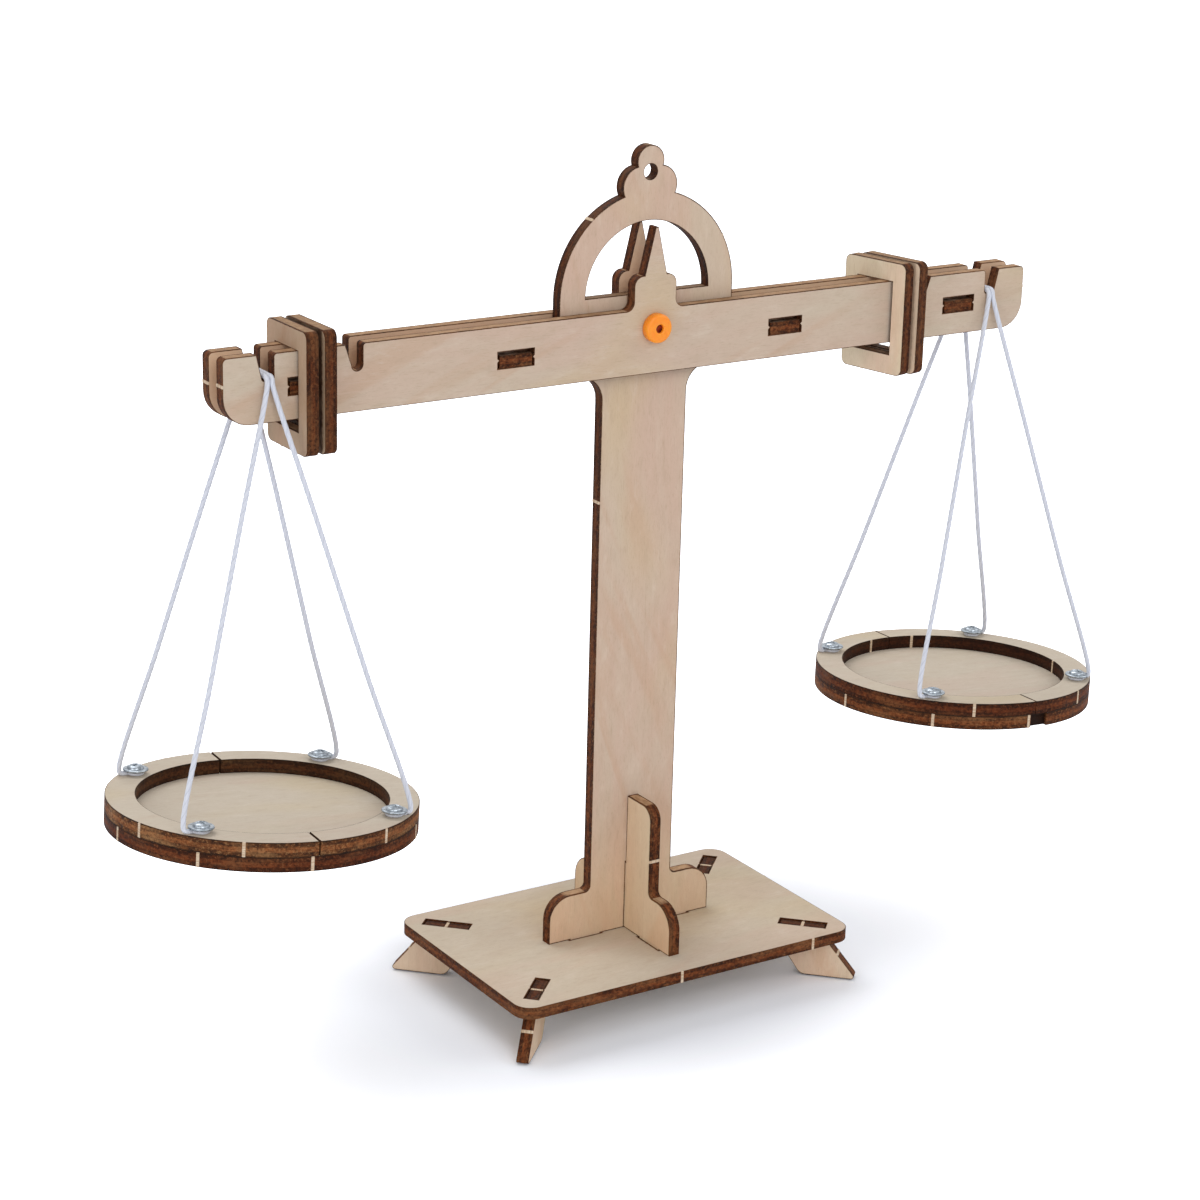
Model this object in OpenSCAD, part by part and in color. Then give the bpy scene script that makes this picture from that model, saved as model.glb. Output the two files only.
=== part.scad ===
// Wooden balance scale toy cut from thin plywood sheet, in millimetres.
// X runs along the beam, Y runs away from the viewer, Z is up and the feet stand on Z = 0.

/* [Sheet] */
// Thickness of the plywood sheet that every wooden piece except the pans is cut from
ply_t = 3; // [2.4:0.1:4]
// Gap left on each side of a tab in its slot
slot_gap = 0.05; // [0.02:0.01:0.15]
// Height of the grip nubs in the foot slots
nub_height = 0.25; // [0.1:0.05:0.4]
// Half length of the grip nubs in the foot slots
nub_half = 0.5; // [0.3:0.05:1]

/* [Base] */
// Length of the base plate along X
base_length = 97; // [90:0.2:120]
// Width of the base plate along Y
base_width = 61.4; // [56:0.2:80]
// Corner radius of the base plate
base_corner_r = 4.6; // [3:0.2:9]
// Height of the underside of the base plate above the floor
foot_height = 10.3; // [8:0.1:16]
// Distance of a foot slot centre from the end of the base plate
foot_inset_x = 9.2; // [8:0.1:14]
// Distance of a foot slot centre from the side of the base plate
foot_inset_y = 9; // [8:0.1:12]
// Length of a foot slot
foot_slot_length = 12; // [9:0.2:12]
// Gap between the tab of a foot and each end of its slot
foot_end_gap = 0.4; // [0.1:0.1:0.8]
// How far the top of a foot's tab stays below the base plate's face
foot_tab_recess = 0.3; // [0.1:0.1:0.8]
// How far the foot's top edge reaches inward of the slot centre
foot_shoulder_in = 7; // [6.2:0.1:8]
// How far the foot's top edge reaches outward of the slot centre
foot_shoulder_out = 6.2; // [6:0.1:8]
// Length of a foot along the floor
foot_length = 14.6; // [11:0.2:18]
// How far the foot leans outward from top to floor
foot_lean = 7; // [4:0.5:9]

/* [Column] */
// Width of the column shaft
shaft_width = 24; // [18:0.5:30]
// Width of the column foot on the base plate
column_foot_width = 47.2; // [38:0.4:60]
// Height of the column foot above the base plate
column_foot_height = 12; // [9:0.1:16]
// Radius of the shoulders of the column foot
column_foot_r = 6; // [2:0.5:8]
// Radius of the fillet between an upright edge and the foot below it
foot_fillet_r = 1.5; // [0.5:0.1:2.5]
// Height of the pivot above the base plate
pivot_height = 154.6; // [140:0.2:180]
// Outer radius of the arch
arch_r = 24.3; // [22:0.1:28]
// Radius of the half round window in the arch
window_r = 17.2; // [15:0.1:19]
// Height of the window sill above the pivot
sill_rise = 7.6; // [6:0.1:9]
// How far the head reaches below the pivot
head_drop = 11.3; // [9:0.1:13]
// Radius of the fillets between shaft and head
head_fillet_r = 6; // [3:0.5:8]
// Radius of the lower corners of the head
head_corner_r = 2; // [1:0.5:3]

/* [Column top] */
// Radius of the top lobe
top_lobe_r = 3.75; // [3:0.05:4.5]
// Height of the top lobe centre above the arch crown
top_lobe_rise = 6.8; // [6:0.1:8]
// Radius of the two side lobes
side_lobe_r = 4.85; // [4:0.05:5.5]
// Distance of a side lobe centre from the middle
side_lobe_x = 2.7; // [2:0.1:3.5]
// Height of the side lobe centres above the arch crown
side_lobe_rise = 0.9; // [0:0.1:2]
// Radius of the hanging hole
hang_hole_r = 1.85; // [1.5:0.05:2.1]
// Height of the hanging hole above the arch crown
hang_hole_rise = 4.3; // [3.5:0.1:5]

/* [Brace fin] */
// Width of the upright part of the brace fin along Y
fin_width = 24.2; // [18:0.2:30]
// Height of the brace fin above the base plate
fin_height = 35.4; // [28:0.2:50]
// Radius of the top corners of the brace fin
fin_top_r = 3.6; // [2:0.2:6]
// Width of the foot of the brace fin along Y
fin_foot_width = 43.8; // [36:0.2:52]
// Height of the foot of the brace fin
fin_foot_height = 12.1; // [10:0.1:16]
// Radius of the shoulders of the foot of the brace fin
fin_foot_r = 6.2; // [4:0.2:8]

/* [Tabs into the base] */
// Distance of a tab centre from the middle, on column and fin
tab_center = 13; // [11:0.5:16]
// Length of each tab
tab_length = 9; // [6:0.5:10]

/* [Pivot] */
// Radius of the axle pin
pin_r = 1; // [0.8:0.05:1.4]
// Radial gap between pin and column bore
pin_run_gap = 0.06; // [0.03:0.01:0.1]
// Radial gap between pin and the pieces that turn with it
pin_hold_gap = 0.02; // [0.01:0.01:0.04]
// Radius of an axle cap
cap_r = 3.5; // [3:0.1:5]
// Thickness of an axle cap
cap_t = 2.5; // [1.8:0.1:3.5]
// Edge rounding of an axle cap
cap_round_r = 0.8; // [0.3:0.1:1.2]
// How far the pin end stays below the cap face
pin_recess = 0.7; // [0.3:0.1:1.2]

/* [Beam] */
// Length of the beam
beam_length = 224; // [200:1:250]
// Height of a beam plate
beam_height = 15.5; // [14:0.1:18]
// Height of the beam above the pivot
beam_above_pivot = 4.4; // [3.5:0.1:5.5]
// Clear gap between the two beam plates
plate_gap = 4; // [3.6:0.1:6]
// Radius of the lower outer corners of the beam
beam_low_r = 6.5; // [4:0.5:7]
// Radius of the upper outer corners of the beam
beam_top_r = 1.2; // [0.6:0.1:1.6]
// Distance of the spacer windows near the pivot from the pivot
inner_window_x = 37.9; // [34:0.2:42]
// Distance of the spacer windows near the beam ends from the string line
outer_window_inset = 9.7; // [9:0.1:10.5]
// Width of a spacer window
spacer_window_w = 9.7; // [8:0.1:10]
// Height of a spacer window
spacer_window_h = 4; // [3.6:0.1:5]
// Height of the sill of a spacer window above the beam's lower edge
spacer_window_sill = 5.6; // [4.5:0.1:6]
// Width of the middle of a spacer, between the plates
spacer_body_w = 13.6; // [12:0.2:15]
// Depth of the small nubs at the ends of a spacer window
window_nub = 0.5; // [0.3:0.05:0.7]

/* [Pointer] */
// Half width of the pointer shoulder
shoulder_half = 5.9; // [5:0.1:7]
// Height of the pointer shoulder above the beam
shoulder_height = 8.1; // [7:0.1:9]
// Radius of the shoulder corners
shoulder_r = 2.4; // [1.5:0.1:3]
// Half width of the spire at its root
spire_half = 3.1; // [2.5:0.1:3.6]
// Half width of the spire at its tip
spire_tip_half = 0.4; // [0.3:0.05:0.8]
// Height of the spire tip above the beam
spire_height = 19.4; // [17:0.1:20]
// Radius of the flare where the shoulder meets the beam
shoulder_flare_r = 2; // [1:0.1:3]

/* [Notches] */
// Distance of the string line from the pivot
hang_x = 101; // [98:0.1:103]
// Depth of the string notch
notch_depth = 6; // [5:0.1:7]
// Width of the string notch at its bottom
notch_bottom_w = 2.8; // [2.6:0.1:3.4]
// How much wider the string notch is at its top, all toward the beam end
notch_flare = 1.4; // [0.8:0.1:2]
// Distance of the spare notch from the pivot
spare_notch_x = 79; // [76:0.5:82]
// Depth of the spare notch
spare_notch_depth = 6.2; // [5:0.1:7]
// Width of the spare notch at its bottom
spare_notch_w = 2.8; // [2.4:0.1:3.4]
// How much wider the spare notch is at its top, toward the beam end
spare_notch_flare = 1.6; // [0.8:0.1:2]
// Rounding of the notch rims on the pivot side
notch_rim_r = 0.8; // [0.4:0.1:1]

/* [Riders] */
// Width of a rider frame along Y
rider_width = 19.4; // [18:0.2:24]
// Height of the bar above the rider window
rider_top_bar = 4.8; // [4:0.1:7]
// Height of the bar below the rider window
rider_low_bar = 5; // [4:0.1:7]
// Gap between beam and rider frame at each side
rider_side_gap = 0.6; // [0.5:0.05:1]
// Gap between beam and rider frame at the bottom
rider_low_gap = 2.9; // [2:0.1:5]
// Corner radius of a rider frame
rider_corner_r = 1.8; // [1:0.1:2.5]
// Distance of the left rider's outer face from the pivot
left_rider_x = 94; // [60:0.1:94]
// Gap between the two frames of the left rider
left_rider_gap = 1.5; // [0:0.1:1.8]
// Distance of the right rider's near face from the pivot
right_rider_x = 68.2; // [40:0.1:70]
// Gap between the two frames of the right rider
right_rider_gap = 1.3; // [0:0.1:1.5]
// Angle by which the loose right rider has turned on the beam
right_rider_turn = 12.5; // [0:0.5:12.5]

/* [Pans] */
// Thickness of the plywood sheet that the pans are cut from
pan_sheet_t = 3.4; // [2.4:0.1:4]
// Outer radius of a pan
pan_r = 36; // [30:0.5:38]
// Width of the ring on a pan
ring_width = 7; // [6:0.5:9]
// Height of the ring's top above the base plate
pan_height = 54.2; // [45:0.2:80]
// Angle by which the left pan hangs lower at its back
left_lean_back = 3; // [0:0.1:3.5]
// Angle by which the left pan hangs lower on its right side
left_lean_right = 4.3; // [0:0.1:5]
// Angle by which the left pan has turned on its strings
left_twist = 6.1; // [0:0.1:7]
// Angle by which the right pan hangs lower at its back
right_lean_back = 2.2; // [0:0.1:3.5]
// Angle by which the right pan hangs lower on its right side
right_lean_right = 2.9; // [0:0.1:5]
// Angle by which the right pan has turned on its strings
right_twist = 2.8; // [0:0.1:7]
// How much lower than the left pan the right pan hangs
right_pan_drop = 2.1; // [0:0.1:3]
// Gap between the two halves of a ring
ring_split_gap = 0.2; // [0.1:0.05:0.4]
// Width of the nick in the edge of the right pan disc
nick_w = 5.2; // [3:0.1:6]
// Depth of the nick in the edge of the right pan disc
nick_depth = 1.2; // [0.4:0.1:1.6]
// Direction of the nick from the middle of the pan
nick_angle = -88; // [-100:1:-60]

/* [Screws] */
// Radius of a screw flange
flange_r = 3; // [2.6:0.1:3.4]
// Thickness of a screw flange
flange_t = 0.6; // [0.4:0.05:1]
// Radius of the screw's domed middle
dome_r = 2; // [1.6:0.1:2.4]
// Height of the dome above the flange
dome_h = 0.9; // [0.5:0.1:1.2]
// Radius of a screw shank
shank_r = 1; // [0.8:0.05:1.1]
// How far a screw goes into the pan disc
shank_into_disc = 2.4; // [1.5:0.1:2.8]
// Width of the cross recess in a screw
recess_w = 0.6; // [0.4:0.1:0.8]
// Length of the cross recess in a screw
recess_l = 2.4; // [1.6:0.1:3]
// Depth of the cross recess in a screw
recess_depth = 0.7; // [0.4:0.1:0.8]

/* [Strings] */
// Diameter of a string
string_d = 1; // [0.8:0.1:1.1]

/* [Hidden] */
// Fineness of round shapes
$fn = 64;
// Fineness of the small arcs in outlines
arc_steps = 8;
// Sides of the string tubes
string_sides = 8;
// Overrun that carries every cut clear of a face
cut_over = 1;
// Direction of the foot slots from the X axis
foot_angle = 45;
// Direction of the screws from the X axis
screw_angle = 45;
// Rounding of the tip and of the heel of a foot
foot_tip_r = 0.7;
foot_heel_r = 2.6;
// Gap between a string loop and the screw shank in it
string_side_gap = 0.1;
// Gap left above and below a string under a screw head, taken together
string_seat_gap = 0.04;

// Middle of the foot slots
foot_slot_x = base_length / 2 - foot_inset_x;
foot_slot_y = base_width / 2 - foot_inset_y;
foot_tab_length = foot_slot_length - 2 * foot_end_gap;

// Heights of the stand
base_top = foot_height + ply_t;
pivot_z = base_top + pivot_height;
sill_z = pivot_z + sill_rise;
head_bottom = pivot_z - head_drop;
arch_crown = sill_z + arch_r;
hang_hole_z = arch_crown + hang_hole_rise;
lap_z = base_top + fin_height / 2;
lap_half = ply_t / 2 + slot_gap;

// Places along Y
plate_out_y = plate_gap / 2 + ply_t;
plate_mid_y = (plate_gap + ply_t) / 2;
cap_face_y = plate_out_y + cap_t;

// Heights of the beam
beam_top = pivot_z + beam_above_pivot;
beam_low = beam_top - beam_height;
window_sill_z = beam_low + spacer_window_sill;
notch_floor = beam_top - notch_depth;
shoulder_top = beam_top + shoulder_height;
spire_tip = beam_top + spire_height;
half_notch = notch_bottom_w / 2;
outer_window_x = hang_x - outer_window_inset;
half_spare = spare_notch_w / 2;

// Sizes of the riders
rider_window_w = 2 * (plate_out_y + rider_side_gap);
rider_low = beam_low - rider_low_gap - rider_low_bar;
rider_window_low = beam_low - rider_low_gap;
rider_window_h = beam_top - rider_window_low;
rider_h = beam_top + rider_top_bar - rider_low;
left_outer_x = -left_rider_x + ply_t / 2;
left_step = ply_t + left_rider_gap;
right_step = (ply_t + right_rider_gap) / cos(right_rider_turn);
right_inner_x = right_rider_x + ply_t / cos(right_rider_turn) / 2;

// Sizes of the pans
ring_top = base_top + pan_height;
disc_top = ring_top - pan_sheet_t;
disc_low = disc_top - pan_sheet_t;
ring_inner_r = pan_r - ring_width;
screw_ring_r = pan_r - ring_width / 2;
screw_x = screw_ring_r * cos(screw_angle);
screw_y = screw_ring_r * sin(screw_angle);
flange_z = ring_top + string_d;
dome_ball_r = (dome_r * dome_r + dome_h * dome_h) / (2 * dome_h);

// Route of a string from its front screw to the middle of the front beam plate. Each point holds
// the way outward from the string line, the place along Y and the height above the floor.
string_r = (string_d - string_seat_gap) / 2;
string_loop_r = shank_r + string_r + string_side_gap;
string_points = [[24.6, -23, 68], [26.3, -23, 68], [27, -22.9, 68.6], [18.5, -17.3, 100],
    [9, -11.2, 135], [0.6, -5.9, 165.6], [0.6, -5.7, 166.6], [0.6, -5.3, 167.1], [0.6, -4.9, 167.2]];
// Number of the point where the string leaves its screw, and the height of its highest point
string_foot = 2;
string_top_z = string_points[len(string_points) - 1][2];

wood = [0.80, 0.70, 0.56];
wood_dark = [0.72, 0.60, 0.46];
orange = [1.0, 0.52, 0.1];
steel = [0.75, 0.77, 0.8];
cord_white = [0.95, 0.95, 0.97];

// Points of an arc around a centre
function arc_points(c, r, a0, a1) =
    [for (i = [0 : arc_steps]) let (a = a0 + (a1 - a0) * i / arc_steps) c + r * [cos(a), sin(a)]];

// Corner of an outline at b, between the points a and c, rounded with radius r
function unit(v) = v / norm(v);
function round_corner(a, b, c, r) =
    let (u = unit(a - b), w = unit(c - b), half = acos(u * w) / 2,
        m = b + unit(u + w) * r / sin(half),
        p0 = b + u * r / tan(half), p1 = b + w * r / tan(half),
        s0 = atan2(p0[1] - m[1], p0[0] - m[0]), s1 = atan2(p1[1] - m[1], p1[0] - m[0]),
        turn = s1 - s0 > 180 ? s1 - s0 - 360 : s1 - s0 < -180 ? s1 - s0 + 360 : s1 - s0)
    arc_points(m, r, s0, s0 + turn);

// Rectangle with rounded corners, centred on X, standing on Y = 0
module rounded_plate(w, h, r) {
    translate([-w / 2, r]) square([w, h - 2 * r]);
    translate([r - w / 2, 0]) square([w - 2 * r, h]);
    for (sx = [-1, 1]) {
        for (y = [r, h - r]) {
            translate([sx * (w / 2 - r), y]) circle(r = r);
        }
    }
}

// Same, with only the upper corners rounded
module shouldered_plate(w, h, r) {
    intersection() {
        translate([-w / 2, 0]) square([w, h]);
        union() {
            translate([-w / 2, 0]) square([w, h - r]);
            translate([r - w / 2, 0]) square([w - 2 * r, h]);
            for (sx = [-1, 1]) {
                translate([sx * (w / 2 - r), h - r]) circle(r = r);
            }
        }
    }
}

// Sheet of plywood cut to an outline in the XZ plane, centred on the plane Y = y
module cut_sheet_xz(y) {
    translate([0, y + ply_t / 2, 0]) rotate([90, 0, 0]) linear_extrude(height = ply_t) children();
}

// Sheet of plywood cut to an outline in the YZ plane, centred on the plane X = x
module cut_sheet_yz(x) {
    translate([x - ply_t / 2, 0, 0]) rotate([90, 0, 90]) linear_extrude(height = ply_t) children();
}

// Cylinder along Y between two places
module along_y(r, y0, y1) {
    translate([0, y1, 0]) rotate([90, 0, 0]) cylinder(r = r, h = y1 - y0);
}

// Filling of a concave corner below a ledge, at the right of an upright edge
module concave_corner(r) {
    difference() {
        translate([0, -r]) square([r, r]);
        translate([r, -r]) circle(r = r);
    }
}

// Both tabs below a plate that stands on the base plate
module foot_tabs() {
    for (sx = [-1, 1]) {
        translate([sx * tab_center - tab_length / 2, foot_height]) square([tab_length, ply_t + cut_over]);
    }
}

// Slot for a tab, with a small grip nub in the middle of each long side
module nubbed_slot(l, w) {
    half_w = w / 2 + nub_height + slot_gap;
    difference() {
        translate([-l / 2, -half_w]) square([l, 2 * half_w]);
        for (m = [0, 1]) {
            mirror([0, m]) translate([0, half_w]) polygon([[-nub_half, cut_over], [-nub_half, 0],
                [0, -nub_height], [nub_half, 0], [nub_half, cut_over]]);
        }
    }
}

module tab_slot(l, w) {
    translate([-l / 2 - slot_gap, -w / 2 - slot_gap]) square([l + 2 * slot_gap, w + 2 * slot_gap]);
}

// Base plate with its slots
module base_plate() {
    color(wood) translate([0, 0, foot_height]) linear_extrude(height = ply_t) difference() {
        translate([0, -base_width / 2]) rounded_plate(base_length, base_width, base_corner_r);
        for (sx = [-1, 1]) {
            for (sy = [-1, 1]) {
                translate([sx * foot_slot_x, sy * foot_slot_y]) rotate(sx * sy * foot_angle)
                    nubbed_slot(foot_slot_length, ply_t);
            }
            translate([sx * tab_center, 0]) tab_slot(tab_length, ply_t);
            translate([0, sx * tab_center]) rotate(90) tab_slot(tab_length, ply_t);
        }
    }
}

// Foot outline: the tab on top, then a plate that leans outward
module foot_outline() {
    root_in = [-foot_shoulder_in, foot_height];
    root_out = [foot_shoulder_out, foot_height];
    heel = [foot_lean - foot_shoulder_in, 0];
    toe = [heel[0] + foot_length, 0];
    polygon(concat([root_in], round_corner(root_in, heel, toe, foot_heel_r),
        round_corner(heel, toe, root_out, foot_tip_r), [root_out]));
    translate([-foot_tab_length / 2, foot_height - cut_over])
        square([foot_tab_length, cut_over + ply_t - foot_tab_recess]);
}

module foot(sx, sy) {
    outward = atan2(sy * sin(foot_angle), sx * cos(foot_angle));
    color(wood_dark) translate([sx * foot_slot_x, sy * foot_slot_y, 0]) rotate([0, 0, outward])
        cut_sheet_xz(0) foot_outline();
}

// Column: foot, shaft, head, arch and three lobed top
module column_outline() {
    shaft_half = shaft_width / 2;
    difference() {
        union() {
            translate([0, base_top]) shouldered_plate(column_foot_width, column_foot_height, column_foot_r);
            translate([-shaft_half, base_top]) square([shaft_width, sill_z - base_top]);
            translate([0, sill_z]) rotate(180)
                shouldered_plate(2 * arch_r, sill_z - head_bottom, head_corner_r);
            for (sx = [0, 1]) {
                mirror([sx, 0]) {
                    translate([shaft_half, head_bottom]) concave_corner(head_fillet_r);
                    translate([shaft_half, base_top + column_foot_height]) mirror([0, 1])
                        concave_corner(foot_fillet_r);
                    translate([side_lobe_x, arch_crown + side_lobe_rise]) circle(r = side_lobe_r);
                }
            }
            foot_tabs();
            translate([0, sill_z]) circle(r = arch_r);
            translate([0, arch_crown + top_lobe_rise]) circle(r = top_lobe_r);
        }
        intersection() {
            translate([0, sill_z]) circle(r = window_r);
            translate([-window_r, sill_z]) square([2 * window_r, window_r]);
        }
        translate([0, hang_hole_z]) circle(r = hang_hole_r);
        translate([0, pivot_z]) circle(r = pin_r + pin_run_gap);
        translate([-lap_half, foot_height]) square([2 * lap_half, lap_z + slot_gap - foot_height]);
    }
}

module column() {
    color(wood) cut_sheet_xz(0) column_outline();
}

// Brace fin, crossing the column with a half lap
module fin_outline() {
    difference() {
        union() {
            translate([0, base_top]) shouldered_plate(fin_foot_width, fin_foot_height, fin_foot_r);
            translate([0, base_top]) shouldered_plate(fin_width, fin_height, fin_top_r);
            for (sx = [0, 1]) {
                mirror([sx, 0]) translate([fin_width / 2, base_top + fin_foot_height]) mirror([0, 1])
                    concave_corner(foot_fillet_r);
            }
            foot_tabs();
        }
        translate([-lap_half, lap_z - slot_gap]) square([2 * lap_half, fin_height / 2 + cut_over]);
    }
}

module brace_fin() {
    color(wood_dark) cut_sheet_yz(0) fin_outline();
}

// Axle pin and its two soft caps
module axle_pin() {
    pin_half = cap_face_y - pin_recess;
    color(steel) translate([0, 0, pivot_z]) along_y(pin_r, -pin_half, pin_half);
}

module axle_cap(side) {
    bore_r = pin_r + pin_hold_gap;
    wall = cap_r - bore_r;
    color(orange) translate([0, side * plate_out_y, pivot_z]) rotate([-90 * side, 0, 0]) rotate_extrude() {
        translate([bore_r, 0]) square([wall, cap_t - cap_round_r]);
        translate([bore_r, 0]) square([wall - cap_round_r, cap_t]);
        translate([cap_r - cap_round_r, cap_t - cap_round_r]) circle(r = cap_round_r);
    }
}

// Outline of a string notch on the right side of the beam, as a cut
module string_notch_cut() {
    wall = hang_x - half_notch;
    far = hang_x + half_notch;
    corner_r = half_notch / 2;
    rim = [wall, beam_top];
    top_far = [far + notch_flare, beam_top];
    floor_in = [wall, notch_floor];
    floor_out = [far, notch_floor];
    polygon(concat(
        arc_points([wall - notch_rim_r, beam_top - notch_rim_r], notch_rim_r, 90, 0),
        round_corner(rim, floor_in, floor_out, corner_r),
        round_corner(floor_in, floor_out, top_far, corner_r),
        [top_far, [far + notch_flare, beam_top + cut_over], [wall - notch_rim_r, beam_top + cut_over]]));
}

// Outline of a spare notch on the right side of the beam, as a cut
module spare_notch_cut() {
    wall = spare_notch_x - half_spare;
    far = spare_notch_x + half_spare;
    low = beam_top - spare_notch_depth + half_spare;
    translate([spare_notch_x, low]) circle(r = half_spare);
    polygon(concat(
        arc_points([wall - notch_rim_r, beam_top - notch_rim_r], notch_rim_r, 90, 0),
        [[wall, low], [far, low], [far + spare_notch_flare, beam_top],
            [far + spare_notch_flare, beam_top + cut_over], [wall - notch_rim_r, beam_top + cut_over]]));
}

// Window for a spacer tab, with a nub in the middle of each short side
module spacer_window(x) {
    mid = window_sill_z + spacer_window_h / 2;
    difference() {
        translate([x - spacer_window_w / 2, window_sill_z]) square([spacer_window_w, spacer_window_h]);
        for (sx = [-1, 1]) {
            translate([x + sx * spacer_window_w / 2, mid]) polygon([[0, -window_nub],
                [-sx * window_nub, 0], [0, window_nub], [sx * cut_over, 0]]);
        }
    }
}

// Beam plate outline with pointer, notches and windows
module beam_outline() {
    difference() {
        union() {
            translate([0, beam_low + beam_low_r])
                shouldered_plate(beam_length, beam_height - beam_low_r, beam_top_r);
            translate([0, beam_top - beam_top_r]) rotate(180)
                shouldered_plate(beam_length, beam_height - beam_top_r, beam_low_r);
            for (sx = [0, 1]) {
                mirror([sx, 0]) translate([shoulder_half, beam_top]) mirror([0, 1])
                    concave_corner(shoulder_flare_r);
            }
            translate([0, pivot_z]) shouldered_plate(2 * shoulder_half, shoulder_top - pivot_z, shoulder_r);
            polygon([[-spire_half, pivot_z], [spire_half, pivot_z], [spire_half, shoulder_top],
                [spire_tip_half, spire_tip], [-spire_tip_half, spire_tip], [-spire_half, shoulder_top]]);
        }
        for (sx = [0, 1]) {
            mirror([sx, 0]) {
                string_notch_cut();
                spare_notch_cut();
                spacer_window(inner_window_x);
                spacer_window(outer_window_x);
            }
        }
        translate([0, pivot_z]) circle(r = pin_r + pin_hold_gap);
    }
}

module beam_plate(side) {
    color(wood) cut_sheet_xz(side * plate_mid_y) beam_outline();
}

// Spacer with shoulders between the plates and a tab through each plate
module spacer(x) {
    tab_w = spacer_window_w - 2 * window_nub - 2 * slot_gap;
    color(wood_dark) translate([x, 0, window_sill_z + slot_gap]) linear_extrude(height = ply_t) {
        translate([-spacer_body_w / 2, -plate_gap / 2]) square([spacer_body_w, plate_gap]);
        translate([-tab_w / 2, -plate_out_y]) square([tab_w, 2 * plate_out_y]);
    }
}

// Rider frame, a plate across the beam with a window around both beam plates
module rider_outline() {
    difference() {
        translate([0, rider_low]) rounded_plate(rider_width, rider_h, rider_corner_r);
        translate([-rider_window_w / 2, rider_window_low]) square([rider_window_w, rider_window_h]);
    }
}

module rider(x, turn) {
    color(wood) translate([x, 0, 0]) rotate([0, 0, turn]) cut_sheet_yz(0) rider_outline();
}

// Angles about X, Y and Z by which a pan hangs out of level, and how far it hangs down
function pan_lean(side) = side < 0 ? [-left_lean_back, left_lean_right, -left_twist]
    : [-right_lean_back, right_lean_right, -right_twist];
function pan_drop(side) = side < 0 ? 0 : right_pan_drop;

// Children of a level pan, carried to the way it hangs
module hung(side) {
    lean = pan_lean(side);
    translate([side * hang_x, 0, disc_top - pan_drop(side)]) rotate([lean[0], 0, 0]) rotate([0, lean[1], 0])
        rotate([0, 0, lean[2]]) translate([-side * hang_x, 0, -disc_top]) children();
}

// Pan disc, with a nick in its edge on the right pan
module pan_disc(side) {
    color(wood) hung(side) translate([side * hang_x, 0, 0]) difference() {
        translate([0, 0, disc_low]) cylinder(r = pan_r, h = pan_sheet_t);
        for (a = [screw_angle : 90 : 360]) {
            rotate([0, 0, a]) translate([screw_ring_r, 0, disc_top - shank_into_disc - slot_gap])
                cylinder(r = shank_r + slot_gap, h = shank_into_disc + cut_over);
        }
        if (side > 0) {
            rotate([0, 0, nick_angle]) translate([pan_r - nick_depth, -nick_w / 2, disc_low - cut_over])
                cube([nick_depth + cut_over, nick_w, pan_sheet_t + 2 * cut_over]);
        }
    }
}

// Half of a ring; out is 1 for the half toward the beam end
module pan_ring(side, out) {
    reach = pan_r + cut_over;
    turn = side * out > 0 ? 0 : 180;
    color(wood_dark) hung(side) translate([side * hang_x, 0, disc_top])
        linear_extrude(height = pan_sheet_t) difference() {
        circle(r = pan_r);
        circle(r = ring_inner_r);
        rotate(turn) translate([-reach, -reach]) square([reach + ring_split_gap / 2, 2 * reach]);
        for (a = [screw_angle : 90 : 360]) {
            rotate(a) translate([screw_ring_r, 0]) circle(r = shank_r + slot_gap);
        }
    }
}

// Four screws with flanged and domed heads
module pan_screws(side) {
    shank_low = disc_top - shank_into_disc;
    dome_top = flange_z + flange_t + dome_h;
    color(steel) hung(side) translate([side * hang_x, 0, 0]) for (a = [screw_angle : 90 : 360]) {
        rotate([0, 0, a]) translate([screw_ring_r, 0, 0]) difference() {
            union() {
                translate([0, 0, shank_low]) cylinder(r = shank_r, h = flange_z - shank_low + flange_t / 2);
                translate([0, 0, flange_z]) cylinder(r = flange_r, h = flange_t);
                intersection() {
                    translate([0, 0, dome_top - dome_ball_r]) sphere(r = dome_ball_r);
                    translate([0, 0, flange_z + flange_t / 2]) cylinder(r = dome_r, h = dome_h + flange_t);
                }
            }
            for (b = [0, 90]) {
                rotate([0, 0, b]) translate([-recess_l / 2, -recess_w / 2, dome_top - recess_depth])
                    cube([recess_l, recess_w, recess_depth + cut_over]);
            }
        }
    }
}

// Points turned about the X, the Y and the Z axis
function turned_x(p, a) = [p[0], p[1] * cos(a) - p[2] * sin(a), p[1] * sin(a) + p[2] * cos(a)];
function turned_y(p, a) = [p[0] * cos(a) + p[2] * sin(a), p[1], p[2] * cos(a) - p[0] * sin(a)];
function turned_z(p, a) = [p[0] * cos(a) - p[1] * sin(a), p[0] * sin(a) + p[1] * cos(a), p[2]];

// Point of a level pan, carried to the way it hangs
function hung_point(side, p) =
    let (middle = [side * hang_x, 0, disc_top], lean = pan_lean(side))
    middle - [0, 0, pan_drop(side)] + turned_x(turned_y(turned_z(p - middle, lean[2]), lean[1]), lean[0]);

// Point of a string whose foot at the screw has followed the pan, while its top stays in the notch
function pulled_point(side, p, foot) =
    let (share = (string_top_z - p[2]) / (string_top_z - foot[2]))
    share < 1 ? p + share * (hung_point(side, foot) - foot) : hung_point(side, p);

// Route of half a string from its screw to the middle of the beam; way is 1 in front and -1 behind
function string_half(side, out, way) =
    let (level = [for (p = string_points) [side * (hang_x + out * p[0]), way * p[1], p[2]]])
    [for (p = level) pulled_point(side, p, level[string_foot])];

// Whole route of one string: front screw, over the beam and down to the back screw
function string_route(side, out) =
    let (front = string_half(side, out, 1), back = string_half(side, out, -1))
    concat(front, [for (i = [len(back) - 1 : -1 : 0]) back[i]]);

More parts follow.
